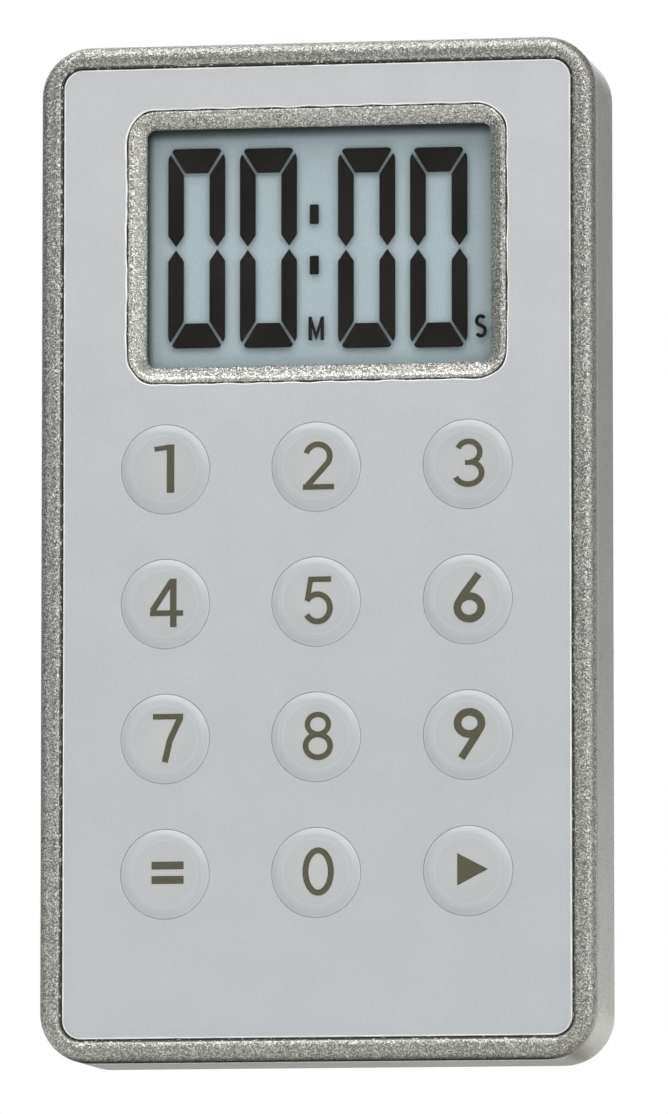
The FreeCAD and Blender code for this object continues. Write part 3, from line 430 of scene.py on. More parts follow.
# Painted light: the film's colour grows lighter and warmer from 30 mm to 100 mm up.
painted_top_light = add(tree, "ShaderNodeMapRange", {
    "Value": split.outputs["Z"], "From Min": 0.03, "From Max": 0.1})
tone = add(tree, "ShaderNodeValToRGB", {"Fac": painted_top_light}, stops=(
    (0.0, "#A9ADB0"), (1.0, "#B5B6B8")))
cloud = add(tree, "ShaderNodeTexNoise", {
    "Vector": place, "Scale": 1 / (7 * mm), "Detail": 5.0, "Roughness": 0.65})
cloud_tone = add(tree, "ShaderNodeMapRange", {
    "Value": cloud, "From Min": 0.3, "From Max": 0.7, "To Min": 0.975, "To Max": 1.02})
tooth = add(tree, "ShaderNodeTexNoise", {
    "Vector": place, "Scale": 1 / (0.15 * mm), "Detail": 2.0, "Roughness": 0.6})
tooth_tone = add(tree, "ShaderNodeMapRange", {
    "Value": tooth, "From Min": 0.3, "From Max": 0.7, "To Min": 0.95, "To Max": 1.05})
both = add(tree, "ShaderNodeMath", {
    0: cloud_tone, 1: tooth_tone}, operation="MULTIPLY")
colour = add(tree, "ShaderNodeVectorMath", {
    0: tone, 1: both}, operation="MULTIPLY")
relief = add(tree, "ShaderNodeBump", {
    "Strength": 0.12, "Distance": 0.01 * mm, "Height": tooth})
gloss = add(tree, "ShaderNodeMapRange", {
    "Value": cloud, "From Min": 0.3, "From Max": 0.7, "To Min": 0.36, "To Max": 0.46})
shine = add(tree, "ShaderNodeBsdfPrincipled", {
    "Base Color": colour, "Roughness": gloss, "IOR": 1.5, "Normal": relief})
add(tree, "ShaderNodeOutputMaterial", {"Surface": shine})
# The die-cut edge of the clear polyester is milky beyond the print; its near-white colour is also a
# painted highlight.
cut_edge_highlight, tree, place = blank_finish("die-cut polyester edge with painted highlight")
nicks = add(tree, "ShaderNodeTexNoise", {
    "Vector": place, "Scale": 1 / (2.5 * mm), "Detail": 4.0, "Roughness": 0.6})
tone = add(tree, "ShaderNodeValToRGB", {"Fac": nicks}, stops=(
    (0.32, "#D2D6D7"), (0.6, "#F2F4F4")))
shine = add(tree, "ShaderNodeBsdfPrincipled", {
    "Base Color": tone, "Roughness": 0.25, "IOR": 1.5})
add(tree, "ShaderNodeOutputMaterial", {"Surface": shine})
film_mesh = finished_mesh("keypad_film", film, [keypad_film, cut_edge_highlight])
fit_piece("keypad_film", film_mesh, "case", ["keypad_overlay"])

# ------------ key caps
# Twelve domed buttons of the same pale film, each with a low crown, a rounded shoulder and a flared
# foot that nearly fills its hole, then a hidden flange and the stem that presses its snap dome. The
# stem is drawn 0.4 mm short, because a pressed dome can't sink under it here.
crown_rim = 3.5


def crown(radius):
    """Depth of a cap's face below the crest of the rim, at a distance from its middle."""
    if radius <= crown_rim:
        ridge = 0.016 * math.exp(-((radius - 3.3) / 0.12) ** 2)
        return 0.02 + 0.09 * (radius / crown_rim) ** 2 - ridge
    t = min(1.0, (radius - crown_rim) / 0.75)
    return 0.11 + 0.05 * t + 0.18 * t * t


def turned(bm, profile, steps=64):
    """A solid of revolution on the front-to-back axis, from (radius, depth) pairs."""
    rows = []
    for radius, depth in profile:
        if radius < 1e-6:
            rows.append([bm.verts.new(at(0.0, 0.0, depth))])
        else:
            rows.append([bm.verts.new(p) for p in ring((0.0, 0.0), radius, depth, steps)])
    for a, b in zip(rows, rows[1:]):
        for i in range(steps):
            j = (i + 1) % steps
            if len(a) == 1:
                bm.faces.new((a[0], b[i], b[j]))
            elif len(b) == 1:
                bm.faces.new((a[i], a[j], b[0]))
            else:
                bm.faces.new((a[i], a[j], b[j], b[i]))


cap_profile = [(0.0, crown(0.0))]
for radius in (0.6, 1.2, 1.8, 2.4, 2.9, 3.1, 3.2, 3.26, 3.3, 3.34, 3.4, 3.5):
    cap_profile.append((radius, crown(radius)))
for k in range(1, 7):
    cap_profile.append((crown_rim + 0.75 * k / 6, crown(crown_rim + 0.75 * k / 6)))
cap_profile += [
    (4.37, 0.38), (4.45, 0.42), (4.48, 0.47), (4.485, 0.52), (4.485, 2.15), (5.15, 2.15),
    (5.2, 2.2), (5.2, 2.6), (5.15, 2.65), (1.6, 2.65), (1.6, 5.17), (1.5, 5.27), (0.0, 5.27),
]
cap = bmesh.new()
turned(cap, cap_profile)
from_middle = cap.verts.layers.float.new("from_middle")
for vert in cap.verts:
    vert[from_middle] = math.hypot(vert.co.x, vert.co.z) / (key_hole * mm)

# The caps are the same hard-coated polyester with a little more gloss. Their colour carries painted
# light: a warm, lighter middle, a painted highlight line on the crown's rim and another at the foot.
cap_film, tree, place = blank_finish("embossed polyester key cap")
cloud = add(tree, "ShaderNodeTexNoise", {
    "Vector": place, "Scale": 1 / (6 * mm), "Detail": 4.0, "Roughness": 0.6})
# Painted highlights, set by the distance from the cap's middle.
cap_painted_highlights = add(tree, "ShaderNodeAttribute", attribute_name="from_middle")
tone = add(tree, "ShaderNodeValToRGB", {"Fac": cap_painted_highlights.outputs["Fac"]}, stops=(
    (0.25, "#AEAFB0"), (0.7, "#A9ACAD"), (0.735, "#AFB2B3"),
    (0.77, "#A8ACAE"), (0.93, "#A8ACAE"), (0.995, "#B0B4B5")))
cloud_tone = add(tree, "ShaderNodeMapRange", {
    "Value": cloud, "From Min": 0.3, "From Max": 0.7, "To Min": 0.98, "To Max": 1.02})
colour = add(tree, "ShaderNodeVectorMath", {
    0: tone, 1: cloud_tone}, operation="MULTIPLY")
tooth = add(tree, "ShaderNodeTexNoise", {
    "Vector": place, "Scale": 1 / (0.15 * mm), "Detail": 2.0, "Roughness": 0.6})
relief = add(tree, "ShaderNodeBump", {
    "Strength": 0.15, "Distance": 0.01 * mm, "Height": tooth})
gloss = add(tree, "ShaderNodeMapRange", {
    "Value": cloud, "From Min": 0.3, "From Max": 0.7, "To Min": 0.29, "To Max": 0.33})
shine = add(tree, "ShaderNodeBsdfPrincipled", {
    "Base Color": colour, "Roughness": gloss, "IOR": 1.5, "Normal": relief})
add(tree, "ShaderNodeOutputMaterial", {"Surface": shine})
cap_mesh = finished_mesh("key cap blank", cap, [cap_film])

# One cap blank is moved to each key's place; the tree takes the key's centre.


def placing_tree(name, blank, places, result):
    """A new geometry tree that takes a blank and named places; also that tree's input node."""
    tree = bpy.data.node_groups.new(name, "GeometryNodeTree")
    tree.interface.new_socket(blank, in_out="INPUT", socket_type="NodeSocketGeometry")
    for label in places:
        tree.interface.new_socket(label, in_out="INPUT", socket_type="NodeSocketVector")
    tree.interface.new_socket(result, in_out="OUTPUT", socket_type="NodeSocketGeometry")
    return tree, add(tree, "NodeGroupInput")


def end_tree(tree, placed, result, finish):
    """Makes the placed copies real, gives them their finish and hands them out."""
    real = add(tree, "GeometryNodeRealizeInstances", {"Geometry": placed})
    coated = add(tree, "GeometryNodeSetMaterial", {"Geometry": real, "Material": finish})
    add(tree, "NodeGroupOutput", {result: coated})


cap_tree, into = placing_tree("key cap at its place", "Cap Blank", ["Key Centre"], "Caps")
spot = add(cap_tree, "GeometryNodeMeshLine", {
    "Count": 1, "Start Location": into.outputs["Key Centre"]})
placed = add(cap_tree, "GeometryNodeInstanceOnPoints", {
    "Points": spot, "Instance": into.outputs["Cap Blank"]})
end_tree(cap_tree, placed, "Caps", cap_film)


def grown(tree, blank, sizes):
    """Runs a geometry tree on a blank with its named sizes, and returns the plain mesh."""
    maker = bpy.data.objects.new("maker", blank)
    scene.collection.objects.link(maker)
    step = maker.modifiers.new("tree", "NODES")
    step.node_group = tree
    for item in tree.interface.items_tree:
        if item.item_type == "SOCKET" and item.in_out == "INPUT" and item.name in sizes:
            step[item.identifier] = sizes[item.name]
    bpy.context.view_layer.update()
    graph = bpy.context.evaluated_depsgraph_get()
    made = bpy.data.meshes.new_from_object(maker.evaluated_get(graph))
    maker.modifiers.remove(step)
    bpy.data.objects.remove(maker)
    return made


for key in key_names:
    x, z = key_centres[key]
    mesh = grown(cap_tree, cap_mesh, {"Key Centre": (x * mm, 0.0, z * mm)})
    mesh.name = "key_cap_" + key
    fit_piece("key_cap_" + key, mesh, "key_" + key, ["key_" + key], weighted=False)

# ------------ key marks
# Plain digits, an equals sign for clear and a triangle for start, screen-printed in olive-grey ink.
# The strokes are even bands about 0.7 mm wide; the 6 and the 9 are printed a little heavier.
# Real ink is 0.01 mm thick; it stands 0.02 mm proud here.


def run(*points):
    """Straight strokes from point to point, cut short enough to follow the crown."""
    path = [points[0]]
    for (x0, z0), (x1, z1) in zip(points, points[1:]):
        parts = max(1, round(math.hypot(x1 - x0, z1 - z0) / 0.5))
        for k in range(1, parts + 1):
            path.append((x0 + (x1 - x0) * k / parts, z0 + (z1 - z0) * k / parts))
    return path


def bow(x, z, rx, rz, start, end, parts=20):
    """Part of an ellipse round (x, z), from one angle in degrees to another."""
    turns = [math.radians(start + (end - start) * k / parts) for k in range(parts + 1)]
    return [(x + rx * math.cos(a), z + rz * math.sin(a)) for a in turns]


def band(bm, path, width, surface, proud=0.02, below=0.05):
    """A flat band of even width along a path, following a surface given as a depth at (x, z)."""
    closed = math.dist(path[0], path[-1]) < 1e-6
    if closed:
        path = path[:-1]
    n = len(path)
    rows = []
    for i in range(n):
        before = path[i - 1] if (closed or i > 0) else None
        after = path[(i + 1) % n] if (closed or i < n - 1) else None
        x, z = path[i]
        sides = []
        for a, b in ((before, path[i]), (path[i], after)):
            if a is not None and b is not None:
                length = math.hypot(b[0] - a[0], b[1] - a[1])
                sides.append(((b[0] - a[0]) / length, (b[1] - a[1]) / length))
        tx = sum(s[0] for s in sides)
        tz = sum(s[1] for s in sides)
        length = math.hypot(tx, tz)
        tx, tz = tx / length, tz / length
        mitre = 1.0
        if len(sides) == 2:
            mitre = 1 / max(0.42, tx * sides[0][0] + tz * sides[0][1])
        reach = width / 2 * mitre
        left = (x - tz * reach, z + tx * reach)
        right = (x + tz * reach, z - tx * reach)
        rows.append([
            bm.verts.new(at(left[0], left[1], surface(*left) - proud)),
            bm.verts.new(at(right[0], right[1], surface(*right) - proud)),
            bm.verts.new(at(right[0], right[1], surface(*right) + below)),
            bm.verts.new(at(left[0], left[1], surface(*left) + below)),
        ])
    pairs = list(zip(rows, rows[1:]))
    if closed:
        pairs.append((rows[-1], rows[0]))
    for a, b in pairs:
        for i in range(4):
            j = (i + 1) % 4
            bm.faces.new((a[i], a[j], b[j], b[i]))
    if not closed:
        bm.faces.new(rows[0])
        bm.faces.new(rows[-1])


def plate(bm, points, surface, proud=0.02, below=0.05):
    """A flat printed patch inside a polygon of (x, z) points."""
    front = [bm.verts.new(at(x, z, surface(x, z) - proud)) for x, z in points]
    back = [bm.verts.new(at(x, z, surface(x, z) + below)) for x, z in points]
    bm.faces.new(front)
    bm.faces.new(back)
    n = len(points)
    for i in range(n):
        j = (i + 1) % n
        bm.faces.new((front[i], front[j], back[j], back[i]))


mark_shift = 0.14
# Each mark is a list of strokes, (path, width), in millimetres from the middle of its key. A path
# that ends where it began is a closed loop.
marks = {
    "1": [(run((-1.2, 2.0), (0.3, 2.2)), 0.5),
          (run((0.44, 2.46), (0.44, -2.38)), 0.76)],
    "2": [(bow(0.1, 1.02, 1.2, 1.18, 166, -36, 22) + run((0.92, 0.12), (-1.0, -1.95))[1:], 0.58),
          (run((-1.42, -2.06), (1.72, -2.06)), 0.54)],
    "3": [(bow(0.02, 1.16, 1.14, 1.06, 158, -78, 22), 0.56),
          (run((-0.34, 0.1), (0.3, 0.1)), 0.5),
          (bow(-0.02, -0.92, 1.36, 1.14, 78, -158, 24), 0.56)],
    "4": [(run((0.6, 2.3), (-1.38, -0.7)), 0.6),
          (run((-1.62, -0.95), (1.74, -0.95)), 0.56),
          (run((0.74, 2.5), (0.74, -2.35)), 0.64)],
    "5": [(run((1.42, 2.2), (-0.86, 2.2)), 0.56),
          (run((-0.62, 2.3), (-0.98, 0.06)), 0.52),
          (bow(0.06, -0.66, 1.26, 1.36, 148, -150, 28), 0.57)],
    "6": [(run((1.0, 2.46), (-0.56, 0.36), (-0.98, -0.3)), 0.74),
          (bow(0.08, -0.86, 1.2, 1.12, 0, 360, 44), 0.78)],
    "7": [(run((-1.32, 2.2), (1.74, 2.2)), 0.56),
          (run((1.48, 2.1), (0.4, -0.2), (-0.1, -2.35)), 0.62)],
    "8": [(bow(0.1, 1.22, 1.06, 0.98, 0, 360, 36), 0.54),
          (bow(0.1, -0.93, 1.24, 1.14, 0, 360, 36), 0.57)],
    "9": [(bow(0.08, 1.14, 1.2, 1.1, 0, 360, 44), 0.78),
          (run((1.16, 0.62), (0.76, -0.06), (-0.74, -2.34)), 0.74)],
    "0": [(bow(0.13, 0.07, 1.28, 2.1, 0, 360, 52), 0.6)],
    "clear": [(run((-1.42, 0.85), (1.82, 0.85)), 0.78),
              (run((-1.42, -0.59), (1.82, -0.59)), 0.79)],
}

# Screen-printed ink: flat olive-grey, a little thinner in places, so the film shows through faintly.
olive_ink, tree, place = blank_finish("olive-grey screen ink")
mesh_marks = add(tree, "ShaderNodeTexNoise", {
    "Vector": place, "Scale": 1 / (0.25 * mm), "Detail": 3.0, "Roughness": 0.7})
tone = add(tree, "ShaderNodeValToRGB", {"Fac": mesh_marks}, stops=(
    (0.3, "#3E3C2B"), (0.72, "#504D3A")))
relief = add(tree, "ShaderNodeBump", {
    "Strength": 0.25, "Distance": 0.01 * mm, "Height": mesh_marks})
shine = add(tree, "ShaderNodeBsdfPrincipled", {
    "Base Color": tone, "Roughness": 0.5, "Normal": relief})
add(tree, "ShaderNodeOutputMaterial", {"Surface": shine})

for key in key_names:
    cx, cz = key_centres[key]

    def on_cap(x, z, cx=cx, cz=cz):
        return crown(math.hypot(x - cx, z - cz))

    mark = bmesh.new()
    if key == "start":
        corners = run((-1.03, 1.74), (2.05, 0.12), (-1.03, -1.5), (-1.03, 1.74))[:-1]
        plate(mark, [(cx + x, cz + z) for x, z in corners], on_cap)
    else:
        for layer, (path, width) in enumerate(marks[key]):
            placed_path = [(cx + x + mark_shift, cz + z) for x, z in path]
            band(mark, placed_path, width, on_cap, proud=0.02 + 0.008 * layer)
    mark_mesh = finished_mesh("key_mark_" + key, mark, [olive_ink], angle=60)
    fit_piece("key_mark_" + key, mark_mesh, "key_" + key, None, weighted=False)

# ------------ display
# A reflective liquid-crystal cell: two glasses with dark segments between them, and a grey-blue
# reflector behind. A clear acrylic window, glued behind the deck, keeps flour and water out.
# The glasses and polariser are drawn as one opaque cell, with the segments just in front of it. The
# frame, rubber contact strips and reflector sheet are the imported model's own shapes.

# Clear moulded acrylic: almost nothing but a faint haze and its gloss.
clear_acrylic, tree, place = blank_finish("clear moulded acrylic")
wave = add(tree, "ShaderNodeTexNoise", {
    "Vector": place, "Scale": 1 / (6 * mm), "Detail": 1.0})
haze = add(tree, "ShaderNodeMapRange", {
    "Value": wave, "From Min": 0.3, "From Max": 0.7, "To Min": 0.001, "To Max": 0.004})
shine = add(tree, "ShaderNodeBsdfPrincipled", {
    "Base Color": linear("#E8EEF0"), "Roughness": 0.06, "IOR": 1.49, "Alpha": haze})
add(tree, "ShaderNodeOutputMaterial", {"Surface": shine})

# Cell face: polariser over glass, with brushed aluminised film behind it. It looks pale grey-blue,
# finely grained along its rolling direction, and darker where the frame shades its top and left.
cell_face, tree, place = blank_finish("polarised reflective display glass")
split = add(tree, "ShaderNodeSeparateXYZ", {"Vector": place})
rolled = add(tree, "ShaderNodeMapping", {
    "Vector": place, "Scale": (1.0, 1.0, 0.35)})
fibre = add(tree, "ShaderNodeTexNoise", {
    "Vector": rolled.outputs["Vector"], "Scale": 1 / (0.12 * mm), "Detail": 3.0, "Roughness": 0.6})
tone = add(tree, "ShaderNodeValToRGB", {"Fac": fibre}, stops=(
    (0.3, "#95A5AA"), (0.7, "#A0B0B4")))
top_shade = add(tree, "ShaderNodeMapRange", {
    "Value": split.outputs["Z"],
    "From Min": (view_middle + view_half_h - 1.25) * mm,
    "From Max": (view_middle + view_half_h + 0.05) * mm,
    "To Min": 1.0,
    "To Max": 0.12,
}, interpolation_type="SMOOTHSTEP")
left_shade = add(tree, "ShaderNodeMapRange", {
    "Value": split.outputs["X"],
    "From Min": (-view_half_w - 0.3) * mm,
    "From Max": (-view_half_w + 0.6) * mm,
    "To Min": 0.12,
    "To Max": 1.0,
}, interpolation_type="SMOOTHSTEP")
shade = add(tree, "ShaderNodeMath", {
    0: top_shade, 1: left_shade}, operation="MULTIPLY")
colour = add(tree, "ShaderNodeVectorMath", {
    0: tone, 1: shade}, operation="MULTIPLY")
shine = add(tree, "ShaderNodeBsdfPrincipled", {
    "Base Color": colour, "Roughness": 0.5})
add(tree, "ShaderNodeOutputMaterial", {"Surface": shine})

# Switched-on liquid crystal: crossed polarisers leave a warm black, very slightly uneven.
dark_crystal, tree, place = blank_finish("switched-on liquid crystal")
cloud = add(tree, "ShaderNodeTexNoise", {
    "Vector": place, "Scale": 1 / (0.3 * mm), "Detail": 3.0})
tone = add(tree, "ShaderNodeValToRGB", {"Fac": cloud}, stops=(
    (0.0, "#0E0C0A"), (1.0, "#191613")))
shine = add(tree, "ShaderNodeBsdfPrincipled", {
    "Base Color": tone, "Roughness": 0.6, "Specular IOR Level": 0.12})
add(tree, "ShaderNodeOutputMaterial", {"Surface": shine})

glass_low, glass_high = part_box("lcd_front_glass")
rear_low, rear_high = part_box("lcd_rear_glass")
segment_room = 0.45
glass_w = glass_high.x / mm
glass_h = (glass_high.z - glass_low.z) / 2 / mm
rear_h = (rear_high.z - rear_low.z) / 2 / mm
glass_front = (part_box("front_polariser")[0].y - crest) / mm + segment_room
glass_step = (glass_high.y - crest) / mm
glass_back = (rear_high.y - crest) / mm
cell = bmesh.new()
pane = skin(cell, [
    outline(glass_w - 0.1, glass_h - 0.1, 0.1, view_middle, glass_front, 3),
    outline(glass_w, glass_h, 0.15, view_middle, glass_front + 0.1, 3),
    outline(glass_w, glass_h, 0.15, view_middle, glass_step, 3),
    outline(glass_w - 0.01, rear_h, 0.15, view_middle, glass_step, 3),
    outline(glass_w - 0.01, rear_h, 0.15, view_middle, glass_back - 0.08, 3),
    outline(glass_w - 0.08, rear_h - 0.08, 0.1, view_middle, glass_back, 3),
])
flat(cell, [pane[0]])
flat(cell, [pane[-1]])
cell_mesh = finished_mesh("display_cell", cell, [cell_face])
fit_piece("display_cell", cell_mesh, "case",
          ["lcd_front_glass", "lcd_rear_glass", "front_polariser"], weighted=False)

segment_depth = 3.0


def in_cell(x, z):
    """The segments lie flat, a little in front of the reflecting face."""
    return segment_depth


# One digit, about 6 mm wide and 20 mm tall, with mitred corners, pointed middles and no centre bar.
digit_w = 5.8
digit_h = 20.15
bar = 1.6
cap_h = 2.5
upper_bar = [
    (0.0, 10.22 + 1.15), (bar / 2, 10.22), (bar, 10.22 + 1.15), (bar, digit_h - cap_h - 0.2),
    (0.22, digit_h - 0.58), (0.12, digit_h - 0.72), (0.03, digit_h - 0.95), (0.0, digit_h - 1.25),
]
top_bar = [
    (0.4, digit_h - 0.3), (0.5, digit_h - 0.1), (0.76, digit_h), (digit_w - 0.76, digit_h),
    (digit_w - 0.5, digit_h - 0.1), (digit_w - 0.4, digit_h - 0.3),
    (digit_w - bar - 0.16, digit_h - cap_h), (bar + 0.16, digit_h - cap_h),
]
digit = bmesh.new()
for shape in (upper_bar, top_bar):
    plate(digit, shape, in_cell, 0.0, 0.03)
    plate(digit, [(x, digit_h - z) for x, z in reversed(shape)], in_cell, 0.0, 0.03)
plate(digit, [(digit_w - x, z) for x, z in reversed(upper_bar)], in_cell, 0.0, 0.03)
plate(digit, [(digit_w - x, digit_h - z) for x, z in upper_bar], in_cell, 0.0, 0.03)
digit_mesh = finished_mesh("digit blank", digit, [dark_crystal])

# The tree sets two digits for minutes and two for seconds along the display.


def two_by_two_tree(name, blank, places, result, finish):
    """A tree that sets a blank down twice along one step, and that pair twice along another."""
    tree, into = placing_tree(name, blank, places, result)
    first, step, next_step = places
    spots = add(tree, "GeometryNodeMeshLine", {
        "Count": 2, "Start Location": into.outputs[first], "Offset": into.outputs[step]})
    pair = add(tree, "GeometryNodeInstanceOnPoints", {
        "Points": spots, "Instance": into.outputs[blank]})
    next_spots = add(tree, "GeometryNodeMeshLine", {
        "Count": 2, "Offset": into.outputs[next_step]})
    four = add(tree, "GeometryNodeInstanceOnPoints", {"Points": next_spots, "Instance": pair})
    end_tree(tree, four, result, finish)
    return tree


digit_tree = two_by_two_tree(
    "four display digits", "Digit", ["First Digit", "Digit Pitch", "Pair Pitch"], "Digits",
    dark_crystal)
digits_mesh = grown(digit_tree, digit_mesh, {
    "First Digit": (-15.49 * mm, 0.0, 71.66 * mm),
    "Digit Pitch": (7.3 * mm, 0.0, -0.1 * mm),
    "Pair Pitch": (17.26 * mm, 0.0, -0.3 * mm),
})
digits_mesh.name = "display_digits"
fit_piece("display_digits", digits_mesh, "case", None, weighted=False)

# The colon between the pairs, and the small M and S that tell minutes from seconds.
small_marks = bmesh.new()
for low_z, high_z in ((83.93, 85.91), (78.84, 80.73)):
    plate(small_marks, [
        (-1.1, low_z + 0.08), (-1.02, low_z), (-0.25, low_z), (-0.17, low_z + 0.08),
        (-0.17, high_z - 0.08), (-0.25, high_z), (-1.02, high_z), (-1.1, high_z - 0.08),
    ], in_cell, 0.0, 0.03)
for path, width, lift in (
    (run((-1.05, 72.2), (-1.05, 74.6)), 0.36, 0.0),
    (run((0.17, 72.2), (0.17, 74.6)), 0.36, 0.0),
    (run((-1.02, 74.5), (-0.44, 72.5), (0.14, 74.5)), 0.28, 0.01),
    (bow(16.2, 73.86, 0.42, 0.46, 30, 270, 14) + bow(16.2, 72.82, 0.44, 0.5, 84, -150, 14), 0.36, 0.0),
):
    band(small_marks, path, width, in_cell, proud=lift, below=0.03)
small_mesh = finished_mesh("display_small_marks", small_marks, [dark_crystal], angle=60)
fit_piece("display_small_marks", small_mesh, "case", None, weighted=False)


def refinish(node_name, finish):
    """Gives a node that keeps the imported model's shape its own finish."""
    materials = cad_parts[node_name].data.materials
    materials.clear()
    materials.append(finish)


refinish("display_window", clear_acrylic)
refinish("lcd_reflector", cell_face)

# ------------ fold-out stand
# A flat flap moulded in grey ABS that snaps onto two pins under the magnets and folds into the back.
# Its faces are spark-eroded matt; its edges are rounded 0.3 mm so that it is kind to a thumbnail.


def moulded(name, dark, light, grain_mm, roughness, depth_mm, metallic=0.0, strength=0.35):
    """A finish of two close tones with a grain of a given size, for plain made surfaces."""
    finish, tree, place = blank_finish(name)
    grain = add(tree, "ShaderNodeTexNoise", {
        "Vector": place, "Scale": 1 / (grain_mm * mm), "Detail": 4.0, "Roughness": 0.65})
    tone = add(tree, "ShaderNodeValToRGB", {"Fac": grain}, stops=(
        (0.3, dark), (0.7, light)))
    gloss = add(tree, "ShaderNodeMapRange", {
        "Value": grain,
        "From Min": 0.3,
        "From Max": 0.7,
        "To Min": roughness - 0.06,
        "To Max": roughness + 0.06,
    })
    relief = add(tree, "ShaderNodeBump", {
        "Strength": strength, "Distance": depth_mm * mm, "Height": grain})
    shine = add(tree, "ShaderNodeBsdfPrincipled", {
        "Base Color": tone, "Metallic": metallic, "Roughness": gloss, "Normal": relief})
    add(tree, "ShaderNodeOutputMaterial", {"Surface": shine})
    return finish


# Spark-eroded ABS: a matt grey with a fine pebble, drawn at 0.2 mm.
grey_abs = moulded("spark-eroded grey ABS", "#8E8E8A", "#A2A29E", 0.2, 0.5, 0.03)
stand_mesh = softened_copy("stand", "fold_out_stand", [grey_abs], 0.3, 3)
fit_piece("fold_out_stand", stand_mesh, "stand", ["stand"])

# ------------ battery door
# A round twist-off disc of the same grey ABS, with a coin slot across it and three hidden lugs.
door_mesh = softened_copy("battery_door", "twist_off_door", [grey_abs], 0.14)
fit_piece("twist_off_door", door_mesh, "battery_door", ["battery_door"])

# ------------ magnets
# Two sintered ferrite discs, pressed and glued into the back: dark, slightly glossy and granular.
ferrite = moulded("sintered ferrite", "#2B2A2A", "#403F3E", 0.35, 0.42, 0.03, 0.25, 0.5)
magnet_mesh = softened_copy("fridge_magnets", "ferrite_magnets", [ferrite], 0.25, 3)
fit_piece("ferrite_magnets", magnet_mesh, "case", ["fridge_magnets"])

# ------------ case screws
# Four zinc-plated steel self-tapping screws with a pan head and a cross recess, sunk in the back.
zinc_steel = moulded("bright zinc-plated steel", "#A9ABAD", "#C6C8C8", 0.3, 0.3, 0.01, 1.0, 0.15)
screw_low, screw_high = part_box("case_screws")
head_back = (screw_high.y - crest) / mm
head_height = 1.2
head_seat = head_back - head_height
head_radius = 1.95
core_radius = 0.95
screw_tip = (screw_low.y - crest) / mm
screw = bmesh.new()
head_rings = skin(screw, [ring((0, 0), radius, head_seat + rise, 40) for radius, rise in (
    (core_radius, 0.0), (1.88, 0.0), (head_radius, 0.08), (head_radius, 0.45),
    (1.86, 0.8), (1.66, 1.05), (1.4, 1.18), (1.25, head_height),
)])


def cross(reach, arm, depth):
    """The twelve corners of a cross recess."""
    quarter = [(reach, -arm), (reach, arm), (arm, arm)]
    points = []
    for turn in range(4):
        c, s = ((1, 0), (0, 1), (-1, 0), (0, -1))[turn]
        for x, z in quarter:
            points.append(at(x * c - z * s, x * s + z * c, depth))
    return points


recess_rows = skin(screw, [cross(0.98, 0.2, head_back), cross(0.5, 0.14, head_back - 0.85)])
flat(screw, [head_rings[-1], recess_rows[0]])
flat(screw, [recess_rows[1]])
# The shank ends in a blunt cone. Its thread is drawn as separate ridges 0.9 mm apart, not a helix.
turns = int((head_seat - screw_tip - 1.0) / 0.9)
shank_rings = [ring((0, 0), core_radius, head_seat, 40)]
for k in range(turns * 4):
    depth = head_seat - 0.25 - 0.225 * k
    shank_rings.append(ring((0, 0), (0.74, 0.84, 0.95, 0.84)[k % 4], depth, 40))
shank_rings.append(ring((0, 0), 0.25, screw_tip, 40))
shank = skin(screw, shank_rings)
flat(screw, [shank[-1]])
screw_mesh = finished_mesh("screw blank", screw, [zinc_steel])

# The tree sets a pair of screws across the case, at the bottom and at the top.
screw_tree = two_by_two_tree(
    "four corner screws", "Screw", ["Lower Left", "Across", "Up"], "Screws", zinc_steel)
screw_x = screw_high.x - head_radius * mm
screw_z = screw_low.z + head_radius * mm
screws_mesh = grown(screw_tree, screw_mesh, {
    "Lower Left": (-screw_x, 0.0, screw_z),
    "Across": (2 * screw_x, 0.0, 0.0),
    "Up": (0.0, 0.0, screw_high.z - head_radius * mm - screw_z),
})
screws_mesh.name = "corner_screws"
fit_piece("corner_screws", screws_mesh, "case", ["case_screws"], weighted=False)

